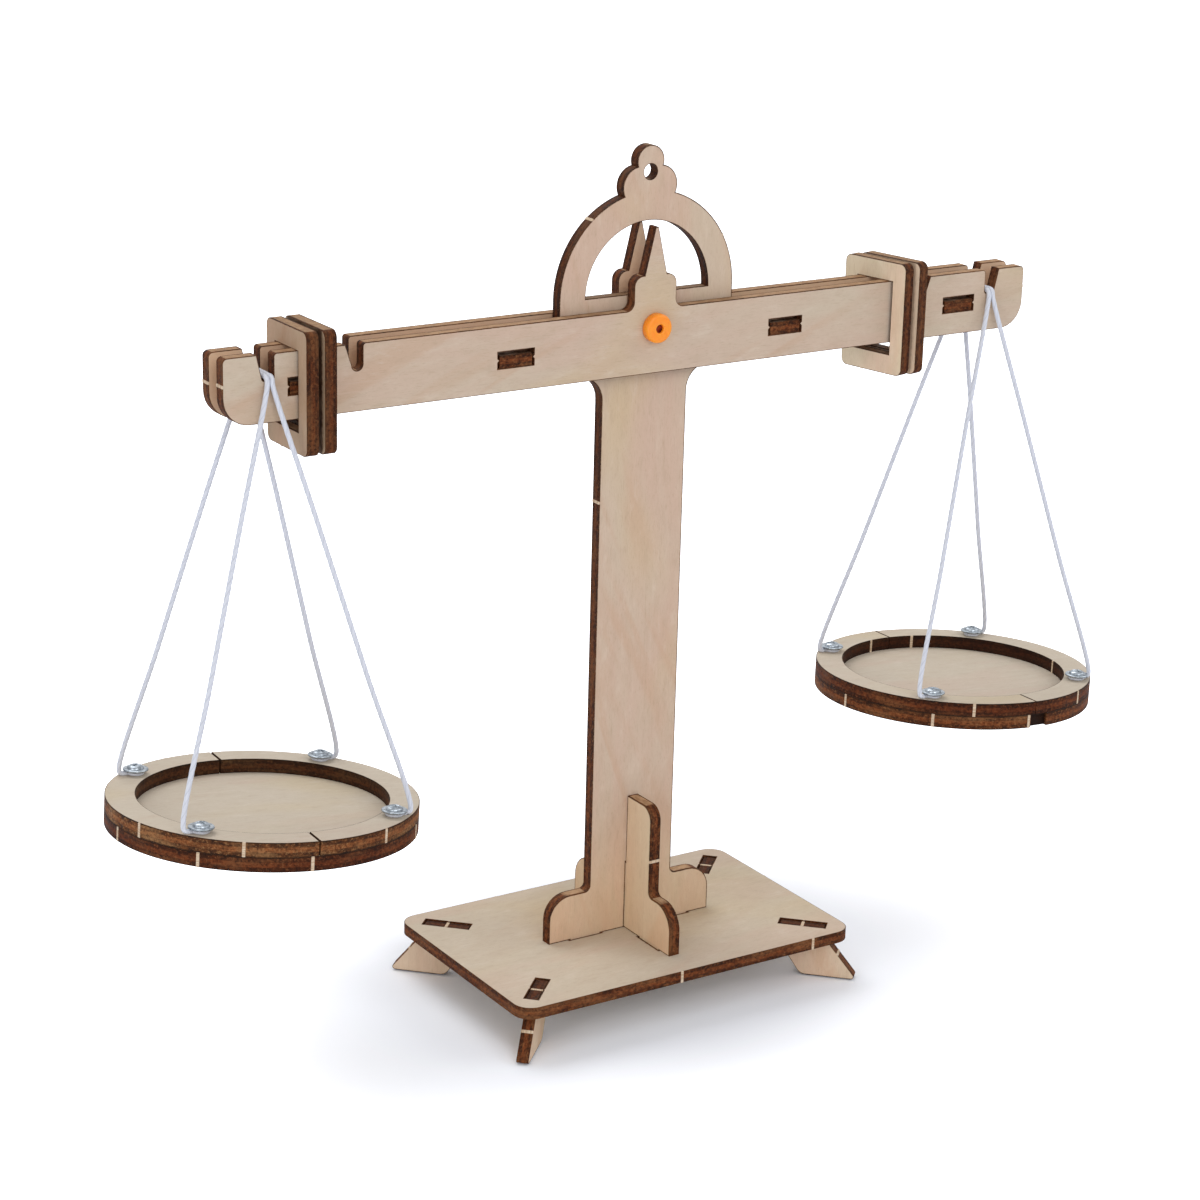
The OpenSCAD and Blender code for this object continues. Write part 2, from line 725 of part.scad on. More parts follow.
// Directions that carry a round section along a route without twist
function step_dir(p, i) = i < 0 || i > len(p) - 2 ? [0, 0, 0] : unit(p[i + 1] - p[i]);
function point_dir(p, i) = unit(step_dir(p, i - 1) + step_dir(p, i));
function across(t, u) = unit(u - (u * t) * t);
function carried(p, i) = across(point_dir(p, i), i == 0 ? [0, 1, 0] : carried(p, i - 1));

// Tube of round section swept along a route
module swept_tube(p, r) {
    n = len(p);
    m = string_sides;
    rings = [for (i = [0 : n - 1]) let (u = carried(p, i), v = cross(point_dir(p, i), u))
        for (k = [0 : m - 1]) p[i] + r * (u * cos(360 * k / m) + v * sin(360 * k / m))];
    wall = [for (i = [0 : n - 2]) for (k = [0 : m - 1]) let (a = i * m + k, b = i * m + (k + 1) % m)
        each [[a, a + m, b], [b, a + m, b + m]]];
    first = [for (k = [1 : m - 2]) [0, k, k + 1]];
    last = [for (f = first) [for (k = [2 : -1 : 0]) f[k] + (n - 1) * m]];
    polyhedron(points = rings, faces = concat(wall, first, last));
}

// String with a loop under each of its two screw heads
module pan_string(side, out) {
    loop_x = side * (hang_x + out * screw_x);
    loop_z = string_points[0][2];
    color(cord_white) {
        swept_tube(string_route(side, out), string_r);
        for (sy = [-1, 1]) {
            hung(side) translate([loop_x, sy * screw_y, loop_z]) rotate_extrude($fn = 32)
                translate([string_loop_r, 0]) circle(r = string_r, $fn = 16);
        }
    }
}

base_plate();
foot(-1, -1);  // foot_front_left
foot(1, -1);  // foot_front_right
foot(-1, 1);  // foot_back_left
foot(1, 1);  // foot_back_right
column();
brace_fin();
axle_pin();
axle_cap(-1);  // axle_cap_front
axle_cap(1);  // axle_cap_rear
beam_plate(-1);  // beam_plate_front
beam_plate(1);  // beam_plate_back
spacer(-outer_window_x);  // spacer_outer_left
spacer(-inner_window_x);  // spacer_inner_left
spacer(inner_window_x);  // spacer_inner_right
spacer(outer_window_x);  // spacer_outer_right
rider(left_outer_x, 0);  // rider_left_outer
rider(left_outer_x + left_step, 0);  // rider_left_inner
rider(right_inner_x, right_rider_turn);  // rider_right_inner
rider(right_inner_x + right_step, right_rider_turn);  // rider_right_outer
pan_disc(-1);  // pan_left_disc
pan_ring(-1, 1);  // pan_left_ring_outer
pan_ring(-1, -1);  // pan_left_ring_inner
pan_screws(-1);  // pan_left_screws
pan_string(-1, 1);  // pan_left_string_outer
pan_string(-1, -1);  // pan_left_string_inner
pan_disc(1);  // pan_right_disc
pan_ring(1, 1);  // pan_right_ring_outer
pan_ring(1, -1);  // pan_right_ring_inner
pan_screws(1);  // pan_right_screws
pan_string(1, 1);  // pan_right_string_outer
pan_string(1, -1);  // pan_right_string_inner
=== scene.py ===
"""Balance scale toy of thin plywood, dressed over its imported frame.

Every size below is in millimetres, as on the maker's drawing, and MM turns it into metres.
X runs along the beam, Y runs away from the viewer, Z is up and the feet stand on Z = 0.
"""
import bmesh
import bpy
import math
import numpy as np
from mathutils import Matrix, Vector
from mathutils.geometry import tessellate_polygon


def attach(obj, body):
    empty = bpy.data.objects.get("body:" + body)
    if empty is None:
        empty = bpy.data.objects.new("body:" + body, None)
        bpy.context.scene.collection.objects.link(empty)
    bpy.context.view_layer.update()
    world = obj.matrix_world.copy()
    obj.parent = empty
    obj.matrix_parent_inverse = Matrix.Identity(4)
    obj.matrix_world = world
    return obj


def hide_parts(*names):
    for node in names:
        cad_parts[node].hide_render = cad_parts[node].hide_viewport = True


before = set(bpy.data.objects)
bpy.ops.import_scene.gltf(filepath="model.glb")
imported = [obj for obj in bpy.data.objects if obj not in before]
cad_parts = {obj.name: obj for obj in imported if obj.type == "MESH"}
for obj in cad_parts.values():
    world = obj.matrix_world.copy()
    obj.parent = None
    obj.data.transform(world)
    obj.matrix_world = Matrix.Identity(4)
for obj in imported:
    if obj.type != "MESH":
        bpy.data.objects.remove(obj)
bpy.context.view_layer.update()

MM = 0.001


# Sizes of the sheet and the stand
PLY = 3.0
HALF_PLY = PLY / 2
BASE_TOP = 13.3
FOOT_HEIGHT = 10.3
BASE_LENGTH = 97.0
BASE_WIDTH = 61.4
BASE_CORNER = 4.6
SLOT_X = 39.3
SLOT_Y = 21.7
SLOT_LENGTH = 12.0
SLOT_HALF = 1.8
NUB = 0.25
NUB_HALF = 0.5
TAB_CENTER = 13.0
TAB_HALF = 4.5
SLOT_GAP = 0.05

# Sizes of the column
SHAFT_HALF = 12.0
COLUMN_FOOT_HALF = 23.6
COLUMN_FOOT_TOP = 25.3
COLUMN_FOOT_R = 6.0
FOOT_FILLET = 1.5
PIVOT_Z = 167.9
SILL_Z = 175.5
ARCH_R = 24.3
WINDOW_R = 17.2
HEAD_BOTTOM = 156.6
HEAD_FILLET = 6.0
HEAD_CORNER = 2.0
CROWN_Z = SILL_Z + ARCH_R
TOP_LOBE_R = 3.75
TOP_LOBE_Z = CROWN_Z + 6.8
SIDE_LOBE_R = 4.85
SIDE_LOBE_X = 2.7
SIDE_LOBE_Z = CROWN_Z + 0.9
HANG_HOLE_R = 1.85
HANG_HOLE_Z = CROWN_Z + 4.3
LAP_Z = 31.0
LAP_HALF = 1.55

# Sizes of the brace fin and the feet
FIN_HALF = 12.1
FIN_TOP = 48.7
FIN_TOP_R = 3.6
FIN_FOOT_HALF = 21.9
FIN_FOOT_TOP = 25.4
FIN_FOOT_R = 6.2
FOOT_SHOULDER_IN = 7.0
FOOT_SHOULDER_OUT = 6.2
FOOT_LENGTH = 14.6
FOOT_TAB_HALF = 5.6
FOOT_TAB_TOP = 13.0
FOOT_HEEL_R = 2.6
FOOT_TIP_R = 0.7

# Sizes of the beam
BEAM_HALF = 112.0
BEAM_TOP = 172.3
BEAM_LOW = 156.8
BEAM_LOW_R = 6.5
BEAM_TOP_R = 1.2
PLATE_MID_Y = 3.5
PLATE_OUT_Y = 5.0
SHOULDER_HALF = 5.9
SHOULDER_TOP = 180.4
SHOULDER_R = 2.4
SHOULDER_FLARE = 2.0
SPIRE_HALF = 3.1
SPIRE_TIP_HALF = 0.4
SPIRE_TIP = 191.7
HANG_X = 101.0
NOTCH_FLOOR = 166.3
NOTCH_HALF = 1.4
NOTCH_FLARE = 1.4
SPARE_X = 79.0
SPARE_FLOOR = 166.1
SPARE_HALF = 1.4
SPARE_FLARE = 1.6
RIM_R = 0.8
WINDOW_SILL = 162.4
WINDOW_HEIGHT = 4.0
WINDOW_HALF = 4.85
WINDOW_XS = (-91.3, -37.9, 37.9, 91.3)
WINDOW_NUB = 0.5
SPACER_BODY_HALF = 6.8
SPACER_TAB_HALF = 4.3
SPACER_Z = WINDOW_SILL + 1.55

# Sizes of the pivot
COLUMN_BORE_R = 1.06
PLATE_BORE_R = 1.02
CAP_R = 3.5
CAP_T = 2.5
CAP_ROUND = 0.8

# Sizes of the riders
RIDER_HALF = 9.7
RIDER_LOW = 148.9
RIDER_TOP = 177.1
RIDER_WINDOW_HALF = 5.6
RIDER_WINDOW_LOW = 153.9
RIDER_CORNER = 1.8
LEFT_RIDER_X = (-92.5, -88.0)
RIGHT_RIDER_X = (69.736, 74.141)
RIGHT_RIDER_TURN = 12.5

# Sizes of the pans
PAN_R = 36.0
RING_IN_R = 29.0
RING_TOP = 67.5
DISC_TOP = 64.1
DISC_LOW = 60.7
SPLIT_GAP = {-1: 0.4, 1: 0.2}
SCREW_RING = 32.5
SCREW_X = SCREW_RING * math.cos(math.radians(45))
FLANGE_Z = 68.5
FLANGE_R = 3.0
FLANGE_T = 0.6
DOME_R = 2.0
DOME_H = 0.9
SHANK_R = 1.0
RECESS_L = 2.4
RECESS_W = 0.6
RECESS_DEPTH = 0.5
NICK_W = 5.2
NICK_DEPTH = 1.2
NICK_ANGLE = -88

# How each pan hangs: turned about X, Y and Z in degrees, and lower by a drop
PAN_LEAN = {-1: (-3.0, 4.3, -6.1), 1: (-2.2, 2.9, -2.8)}
PAN_DROP = {-1: 0.0, 1: 2.1}

# Route of a string from its front screw to the middle of the front beam plate. Each point holds
# the way outward from the string line, the place along Y and the height above the floor.
STRING_POINTS = ((24.6, -23, 68), (26.3, -23, 68), (27, -22.9, 68.6), (18.5, -17.3, 100),
                 (9, -11.2, 135), (0.6, -5.9, 165.6), (0.6, -5.7, 166.6), (0.6, -5.3, 167.1),
                 (0.6, -4.9, 167.2))
STRING_FOOT = 2
STRING_R = 0.6
LOOP_TUBE_R = 0.5
LOOP_R = 1.6

# Camera, as the photograph was taken
CAMERA_AZIMUTH = -32.89
CAMERA_ELEVATION = 18.0
CAMERA_ROLL = 1.45
CAMERA_DISTANCE = 749.0
CAMERA_SHIFT = -8.5
CAMERA_AIM_Z = 99.0
FOCAL = 92.38
SENSOR = 36.0


def add_camera():
    """Camera on a sphere round the aim point, then rolled about its own line of sight."""
    azimuth, elevation, roll = (math.radians(v) for v in (CAMERA_AZIMUTH, CAMERA_ELEVATION, CAMERA_ROLL))
    back = Vector((math.sin(azimuth) * math.cos(elevation), -math.cos(azimuth) * math.cos(elevation),
                   math.sin(elevation)))
    level_right = Vector((math.cos(azimuth), math.sin(azimuth), 0))
    level_up = back.cross(level_right)
    right = level_right * math.cos(roll) + level_up * math.sin(roll)
    up = level_up * math.cos(roll) - level_right * math.sin(roll)
    place = Vector((0, 0, CAMERA_AIM_Z)) + back * CAMERA_DISTANCE + right * CAMERA_SHIFT
    camera = bpy.data.objects.new("studio_camera", bpy.data.cameras.new("studio_camera"))
    camera.data.lens = FOCAL
    camera.data.sensor_width = SENSOR
    camera.data.clip_start = 0.01
    camera.matrix_world = Matrix.Translation(place * MM) @ Matrix((right, up, back)).transposed().to_4x4()
    bpy.context.collection.objects.link(camera)
    bpy.context.scene.camera = camera


def new_piece(name, points, faces, material, attributes=()):
    """Mesh object from points in millimetres and faces as index lists; attributes are (name, values)."""
    mesh = bpy.data.meshes.new(name)
    mesh.from_pydata((np.asarray(points, float) * MM).tolist(), [], [list(map(int, f)) for f in faces])
    for title, values in attributes:
        values = np.asarray(values, np.float32)
        kind, field = ("FLOAT", "value") if values.ndim == 1 else ("FLOAT_VECTOR", "vector")
        layer = mesh.attributes.new(title, kind, "POINT")
        layer.data.foreach_set(field, values.ravel())
    mesh.validate()
    mesh.update()
    piece = bpy.data.objects.new(name, mesh)
    piece.data.materials.append(material)
    bpy.context.collection.objects.link(piece)
    return piece


def grid_faces(rows, columns, closed, wrapped=False):
    """Quads between neighbouring rows of a grid of points; closed joins each row's end to its start, and
    wrapped joins the last row to the first."""
    row, column = np.meshgrid(np.arange(rows - (not wrapped)), np.arange(columns - (not closed)),
                              indexing="ij")
    beside = (column + 1) % columns
    next_row = (row + 1) % rows
    quads = np.stack([row * columns + column, row * columns + beside,
                      next_row * columns + beside, next_row * columns + column], axis=-1)
    return quads.reshape(-1, 4)


def colour(red, green, blue):
    """Linear colour of a screen colour with parts from 0 to 255."""
    parts = np.array([red, green, blue]) / 255
    linear = np.where(parts <= 0.04045, parts / 12.92, ((parts + 0.055) / 1.055) ** 2.4)
    return (*(float(v) for v in linear), 1.0)


# Colours of the wood, and how much paler or redder an edge can turn
VENEER_GREY = colour(204, 189, 168)
VENEER_PINK = colour(206, 180, 161)
VENEER_LEMON = colour(206, 186, 152)
VENEER_WARM = colour(198, 166, 140)
VENEER_STREAK = colour(184, 162, 138)
VENEER_LIGHT = colour(218, 204, 187)
VENEER_PORE = colour(172, 147, 121)
SCORCH_BROWN = colour(116, 78, 52)
# Painted shade, brown, for faces in the gap between plates
GAP_SHADE_BROWN = colour(70, 44, 28)
# Painted warm tan for the shaded faces inside the beam, standing for bounce light between its plates
GAP_BOUNCE_TAN = colour(208, 174, 144)
CHAR_BLACK = colour(28, 14, 8)
CHAR_DARK = colour(52, 25, 11)
CHAR_BROWN = colour(88, 45, 21)
CHAR_RED = colour(118, 62, 31)
CHAR_OCHRE = colour(134, 88, 54)
PALER_GAIN = (1.7, 2.3, 2.6, 1.0)
REDDER_GAIN = (0.62, 0.52, 0.52, 1.0)
# Painted highlight, tan, on edges that face up, for sheen and light from above
SHEEN_TAN_DEEP = colour(160, 122, 88)
SHEEN_TAN_PALE = colour(206, 170, 134)
SKIN_EDGE = colour(190, 158, 122)
TORN_PALE = colour(222, 204, 180)
TORN_DEEP = colour(186, 156, 126)

# Slant of the veneer's figure, and the heights where the painted shade and warm bounce light on the
# column's foot begin and are full
FIGURE_SLANT = -22
BOUNCE_TINT_TOP = 50
BOUNCE_TINT_LOW = 20

# Past the bound of the painted gap shade: where it starts to fade and ends, and how far that line wavers
CLEAR_START = 0.3
CLEAR_END = 0.9
CLEAR_WAVER = 1.2

# Colours of rubber, plated steel and string; the pin's red-brown is painted reflection of the orange cap
RUBBER_CLEAN = colour(255, 152, 24)
RUBBER_DUSTY = colour(255, 142, 16)
PIN_REFLECTED_BRIGHT = colour(142, 58, 36)
PIN_REFLECTED_DULL = colour(96, 36, 24)
SCREW_BRIGHT = colour(168, 176, 184)
SCREW_DULL = colour(118, 125, 132)
# Painted shade in the hollows between strands and painted light on their crests
STRING_HOLLOW_SHADE = colour(190, 194, 206)
STRING_CREST_LIGHT = colour(212, 215, 225)
STRING_FIBRE = colour(200, 204, 217)


# Shader tools
class Wires:
    """Short calls for placing nodes in a tree and joining their sockets."""

    def __init__(self, tree):
        self.tree = tree

    def join(self, value, socket):
        """Input fed by another node's socket, or set to a plain value."""
        if isinstance(value, bpy.types.NodeSocket):
            self.tree.links.new(value, socket)
        else:
            socket.default_value = value

    def put(self, kind, inputs=None, **settings):
        """Node of a kind, with its settings and with values or sockets on its inputs."""
        node = self.tree.nodes.new(kind)
        for title, value in settings.items():
            setattr(node, title, value)
        for title, value in (inputs or {}).items():
            self.join(value, node.inputs[title])
        return node

    def read(self, title, output="Fac"):
        """One of the piece's own attributes."""
        return self.put("ShaderNodeAttribute", attribute_name=title).outputs[output]

    def place(self):
        """Coordinates in the piece's own frame."""
        return self.put("ShaderNodeTexCoord").outputs["Object"]

    def noise(self, vector, scale, detail=2.0, roughness=0.5, distortion=0.0):
        """Smooth noise, about 0.5 on average, on coordinates in metres."""
        node = self.put("ShaderNodeTexNoise", {"Vector": vector, "Scale": scale, "Detail": detail,
                                               "Roughness": roughness, "Distortion": distortion})
        return node.outputs["Fac"]

    def spread(self, value, low, high, out_low=0.0, out_high=1.0):
        """Value carried from one range to another, smoothly and held at both ends."""
        node = self.put("ShaderNodeMapRange", {"Value": value, "From Min": low, "From Max": high,
                                               "To Min": out_low, "To Max": out_high},
                        interpolation_type="SMOOTHSTEP")
        return node.outputs["Result"]

    def sum_of(self, kind, first, second):
        """Result of one sum on two values."""
        return self.put("ShaderNodeMath", {0: first, 1: second}, operation=kind).outputs["Value"]

    def times(self, first, second):
        """Product of two values."""
        return self.sum_of("MULTIPLY", first, second)

    def size_of(self, value):
        """Value without its sign."""
        return self.put("ShaderNodeMath", {0: value}, operation="ABSOLUTE").outputs["Value"]

    def blend(self, amount, first, second, kind="MIX"):
        """Colour between two colours."""
        return self.put("ShaderNodeMix", {0: amount, 6: first, 7: second}, data_type="RGBA",
                        blend_type=kind, clamp_factor=True).outputs[2]

    def toned(self, base, *layers):
        """Colour with more tones laid over it. Each layer is a value, the low and the high end between
        which it brings its tone in, the most it brings in, and the tone."""
        for value, low, high, most, tone in layers:
            base = self.blend(self.spread(value, low, high, 0.0, most), base, tone)
        return base

    def stretched(self, vector, scale, turn=(0, 0, 0), shift=(0, 0, 0)):
        """Coordinates turned, moved and stretched, so that a noise on them becomes streaks."""
        turned = self.put("ShaderNodeMapping", {"Vector": vector, "Rotation": turn, "Location": shift})
        node = self.put("ShaderNodeMapping", {"Vector": turned.outputs["Vector"], "Scale": scale})
        return node.outputs["Vector"]

    def streaks(self, vector, scale, detail=2.0, roughness=0.5, distortion=0.0, **move):
        """Noise on stretched coordinates."""
        return self.noise(self.stretched(vector, scale, **move), 1.0, detail, roughness, distortion)


def new_group(name, inputs, outputs):
    """Shader node group with named sockets; returns the group, its wires, and its inputs and outputs
    as they are joined inside it."""
    group = bpy.data.node_groups.new(name, "ShaderNodeTree")
    for title, kind, value in inputs:
        socket = group.interface.new_socket(title, in_out="INPUT", socket_type=kind)
        if value is not None:
            socket.default_value = value
    for title, kind in outputs:
        group.interface.new_socket(title, in_out="OUTPUT", socket_type=kind)
    source, result = group.nodes.new("NodeGroupInput"), group.nodes.new("NodeGroupOutput")
    return group, Wires(group), source.outputs, result.inputs


def veneer_group():
    """Face of birch veneer. Grain runs along the group's X: broad cloudy tones, a diagonal figure, small
    blotches, soft streaks, fibres and short pores. Warmth leans the tone from grey to pink."""
    group, wires, source, result = new_group(
        "birch_veneer",
        [("Vector", "NodeSocketVector", None), ("Figure", "NodeSocketFloat", 1.0),
         ("Warmth", "NodeSocketFloat", 0.0)],
        [("Color", "NodeSocketColor"), ("Height", "NodeSocketFloat")])
    vector = source["Vector"]
    cloud = wires.streaks(vector, (13, 42, 42), 3.0, 0.55, 0.8)
    tone = wires.sum_of("ADD", wires.spread(cloud, 0.3, 0.7), source["Warmth"])
    base = wires.blend(tone, VENEER_GREY, VENEER_PINK)
    lemon = wires.streaks(vector, (17, 30, 30), 2.0, 0.5, 0.5, shift=(0.7, 0.3, 0.1))
    base = wires.toned(base, (lemon, 0.5, 0.75, 0.7, VENEER_LEMON))
    flame = wires.streaks(vector, (10, 85, 85), 2.0, 0.5, 1.4, turn=(0, 0, math.radians(FIGURE_SLANT)))
    flame = wires.times(wires.spread(flame, 0.54, 0.72, 0.0, 0.5), source["Figure"])
    base = wires.blend(flame, base, VENEER_WARM)
    blotch = wires.streaks(vector, (150, 420, 420), 4.0, 0.65)
    streak = wires.streaks(vector, (24, 980, 980), 4.0, 0.62, 0.15)
    fibre = wires.streaks(vector, (700, 3400, 3400), 3.0, 0.7)
    pore = wires.streaks(vector, (240, 5200, 5200), 1.0, 0.5)
    base = wires.toned(base,
                       (blotch, 0.5, 0.76, 0.34, VENEER_STREAK), (blotch, 0.48, 0.24, 0.4, VENEER_LIGHT),
                       (streak, 0.56, 0.82, 0.3, VENEER_STREAK), (streak, 0.44, 0.22, 0.2, VENEER_LIGHT),
                       (fibre, 0.5, 0.8, 0.4, VENEER_PORE), (pore, 0.62, 0.74, 0.26, VENEER_PORE))
    height = wires.sum_of("SUBTRACT", wires.times(streak, 0.6), wires.spread(pore, 0.58, 0.72, 0.0, 0.5))
    wires.join(base, result["Color"])
    wires.join(height, result["Height"])
    return group


def char_group():
    """Laser cut edge. Along runs round the edge in metres and Across from -1 to 1 through the sheet:
    three plies, each charred to its own depth, glue lines, soot specks, fine cut marks and, at both
    faces, a black rim with bits of pale skin. Edges that face Upward get a painted tan highlight between
    two dark lines, for sheen and light from above. Joint shows torn wood where a bridge held the piece.
    Burn from 0 to 1 chars the whole edge further, towards black. Light from -1 to 1 turns the whole edge
    darker and redder or paler, and Rim is how black the two rims are."""
    group, wires, source, result = new_group(
        "charred_edge",
        [(title, "NodeSocketFloat", 0.0)
         for title in ("Along", "Across", "Joint", "Upward", "Burn", "Seed", "Light", "Rim")],
        [("Color", "NodeSocketColor"), ("Height", "NodeSocketFloat"), ("Roughness", "NodeSocketFloat")])
    depth = wires.size_of(source["Across"])
    place = wires.put("ShaderNodeCombineXYZ", {
        "X": source["Along"], "Y": wires.times(source["Across"], HALF_PLY * MM), "Z": source["Seed"]})
    place = place.outputs["Vector"]
    cut = wires.streaks(place, (2600, 160, 1), 2.0, 0.6)
    drift = wires.streaks(place, (75, 260, 1))
    blotch = wires.streaks(place, (420, 900, 1), 4.0, 0.7)
    speck = wires.streaks(place, (1200, 1500, 1), 4.0, 0.8)
    fibre = wires.streaks(place, (190, 4200, 1), 3.0, 0.6)
    shade = wires.toned(CHAR_DARK, (blotch, 0.4, 0.6, 1.0, CHAR_BROWN))
    core = wires.toned(CHAR_BROWN, (blotch, 0.38, 0.6, 1.0, CHAR_RED))
    shade = wires.toned(shade, (depth, 0.5, 0.3, 1.0, core),
                        (drift, 0.46, 0.7, 0.55, CHAR_OCHRE), (drift, 0.46, 0.28, 0.5, CHAR_DARK),
                        (fibre, 0.54, 0.76, 0.22, CHAR_BLACK), (speck, 0.52, 0.62, 0.7, CHAR_BLACK),
                        (speck, 0.47, 0.38, 0.65, CHAR_OCHRE))
    glue = wires.times(wires.spread(depth, 0.3, 0.37), wires.spread(depth, 0.46, 0.39))
    shade = wires.blend(wires.times(glue, 0.4), shade, CHAR_BLACK)
    # Painted highlight: level upper edges turn tan, for sheen and light from above
    tan = wires.toned(SHEEN_TAN_DEEP, (blotch, 0.3, 0.7, 1.0, SHEEN_TAN_PALE))
    top_lit = wires.times(wires.spread(source["Upward"], 0.93, 0.995, 0.0, 0.85),
                            wires.spread(depth, 0.84, 0.66))
    shade = wires.blend(top_lit, shade, tan)
    swell = wires.spread(wires.streaks(place, (24, 60, 1)), 0.38, 0.6, 0.45, 1.0)
    for full, gain in ((1.0, PALER_GAIN), (-1.0, REDDER_GAIN)):
        amount = wires.times(wires.spread(source["Light"], 0.0, full), swell)
        shade = wires.blend(amount, shade, gain, "MULTIPLY")
    shade = wires.blend(source["Burn"], shade, CHAR_BLACK)
    rim = wires.times(wires.spread(depth, 0.8, 0.9), wires.spread(blotch, 0.34, 0.56, 1.0, 0.6))
    shade = wires.blend(wires.times(rim, source["Rim"]), shade, CHAR_BLACK)
    skin = wires.times(wires.spread(depth, 0.97, 0.995), wires.spread(speck, 0.46, 0.66, 0.0, 0.4))
    shade = wires.blend(skin, shade, SKIN_EDGE)
    torn = wires.toned(TORN_PALE, (fibre, 0.35, 0.65, 1.0, TORN_DEEP))
    ragged = wires.times(source["Joint"], wires.spread(speck, 0.3, 0.42, 0.35, 1.0))
    shade = wires.blend(ragged, shade, torn)
    wires.join(shade, result["Color"])
    wires.join(wires.sum_of("ADD", wires.times(cut, 0.7), wires.times(glue, -0.5)), result["Height"])
    wires.join(wires.spread(blotch, 0.3, 0.7, 0.55, 0.75), result["Roughness"])
    return group


def new_material(name, **looks):
    """Material with one Principled shader whose inputs are set by their titles, with a low line for
    each space; returns the material, its wires and the shader."""
    material = bpy.data.materials.new(name)
    material.use_nodes = True
    shader = material.node_tree.nodes["Principled BSDF"]
    for title, value in looks.items():
        shader.inputs[title.replace("_", " ")].default_value = value
    return material, Wires(material.node_tree), shader


def bumped(wires, shader, height, depth, strength=1.0):
    """Relief from a height, with its depth in millimetres."""
    bump = wires.put("ShaderNodeBump", {"Height": height, "Distance": depth * MM, "Strength": strength})
    wires.join(bump.outputs["Normal"], shader.inputs["Normal"])


def plywood(name, veneer, char, grain, shift, figure=1.0, warmth=0.0, tint=(1.0, 1.0, 1.0),
            gap_shade_tone=GAP_SHADE_BROWN, clear_beyond=None, edge_light=0.0, rim=0.25, foot_bounce_tint=None):
    """Sheet of birch plywood: veneer on the faces, with its grain turned from the sheet's first
    direction by an angle in degrees, a scorched line along every cut, and charred edges. Tint
    multiplies the veneer's colour; on the fin and the right riders it is painted light, on the left
    riders painted shade. The piece's painted-shade attribute turns a face to a painted shade tone, for
    the shade between two plates, or only as far as clear_beyond from the middle of the sheet's first
    direction. The tint near the floor, given for the column's foot, takes the tint's place there and
    is painted shade and warm bounce light from the base."""
    material, wires, shader = new_material(name, Specular_IOR_Level=0.1)
    place = wires.read("sheet", "Vector")
    turned = wires.stretched(place, (1, 1, 1), turn=(0, 0, math.radians(-grain)), shift=shift)
    face = wires.put("ShaderNodeGroup", {"Vector": turned, "Figure": figure, "Warmth": warmth},
                     node_tree=veneer)
    edge_values = {title.capitalize(): wires.read(title)
                   for title in ("along", "across", "joint", "upward", "burn")}
    edge_values.update({"Seed": shift[0] * 40, "Light": edge_light, "Rim": rim})
    edge = wires.put("ShaderNodeGroup", edge_values, node_tree=char)
    smoke = wires.streaks(place, (900, 900, 900), 3.0, 0.7)
    burnt = wires.times(wires.read("scorch"), wires.spread(smoke, 0.36, 0.6, 0.15, 0.95))
    wash = (*tint, 1.0)
    # Painted shade and warm bounce light from the base, fading in below a height
    if foot_bounce_tint:
        height = wires.put("ShaderNodeSeparateXYZ", {0: wires.place()}).outputs["Z"]
        low = wires.spread(height, BOUNCE_TINT_TOP * MM, BOUNCE_TINT_LOW * MM)
        wash = wires.blend(low, wash, (*foot_bounce_tint, 1.0))
    tone = wires.blend(1.0, face.outputs["Color"], wash, "MULTIPLY")
    # Painted shade in soft patches on faces in the gap between plates, faded past clear_beyond
    cloud = wires.spread(wires.noise(place, 260, 3.0), 0.3, 0.7, 0.7, 1.0)
    gap_shaded = wires.times(wires.read("stain"), cloud)
    if clear_beyond:
        first = wires.put("ShaderNodeSeparateXYZ", {0: place}).outputs["X"]
        waver = wires.times(wires.noise(place, 700, 3.0), CLEAR_WAVER * MM)
        reach = wires.sum_of("ADD", wires.size_of(first), waver)
        kept = wires.spread(reach, (clear_beyond + CLEAR_END) * MM, (clear_beyond + CLEAR_START) * MM)
        gap_shaded = wires.times(gap_shaded, kept)
    tone = wires.blend(gap_shaded, tone, gap_shade_tone)
    tone = wires.blend(burnt, tone, SCORCH_BROWN)
    wall = wires.spread(wires.read("wall"), 0.35, 0.65)
    tone = wires.blend(wall, tone, edge.outputs["Color"])
    wires.join(tone, shader.inputs["Base Color"])
    rough = wires.put("ShaderNodeMix", {0: wall, 2: 0.62, 3: edge.outputs["Roughness"]}, data_type="FLOAT")
    wires.join(rough.outputs[0], shader.inputs["Roughness"])
    height = wires.put("ShaderNodeMix", {0: wall, 2: face.outputs["Height"], 3: edge.outputs["Height"]},
                       data_type="FLOAT")
    bumped(wires, shader, height.outputs[0], 0.05, 0.6)
    return material


def soft_orange():
    """Soft orange rubber, a little darker where dirt has settled."""
    material, wires, shader = new_material("cap_rubber", Roughness=0.36, Subsurface_Weight=0.25,
                                           Subsurface_Radius=(0.002, 0.0008, 0.0003),
                                           Subsurface_Scale=1.0)
    place = wires.place()
    tone = wires.toned(RUBBER_CLEAN, (wires.noise(place, 420, 3.0), 0.35, 0.7, 1.0, RUBBER_DUSTY))
    wires.join(tone, shader.inputs["Base Color"])
    bumped(wires, shader, wires.noise(place, 2600), 0.04, 0.4)
    return material


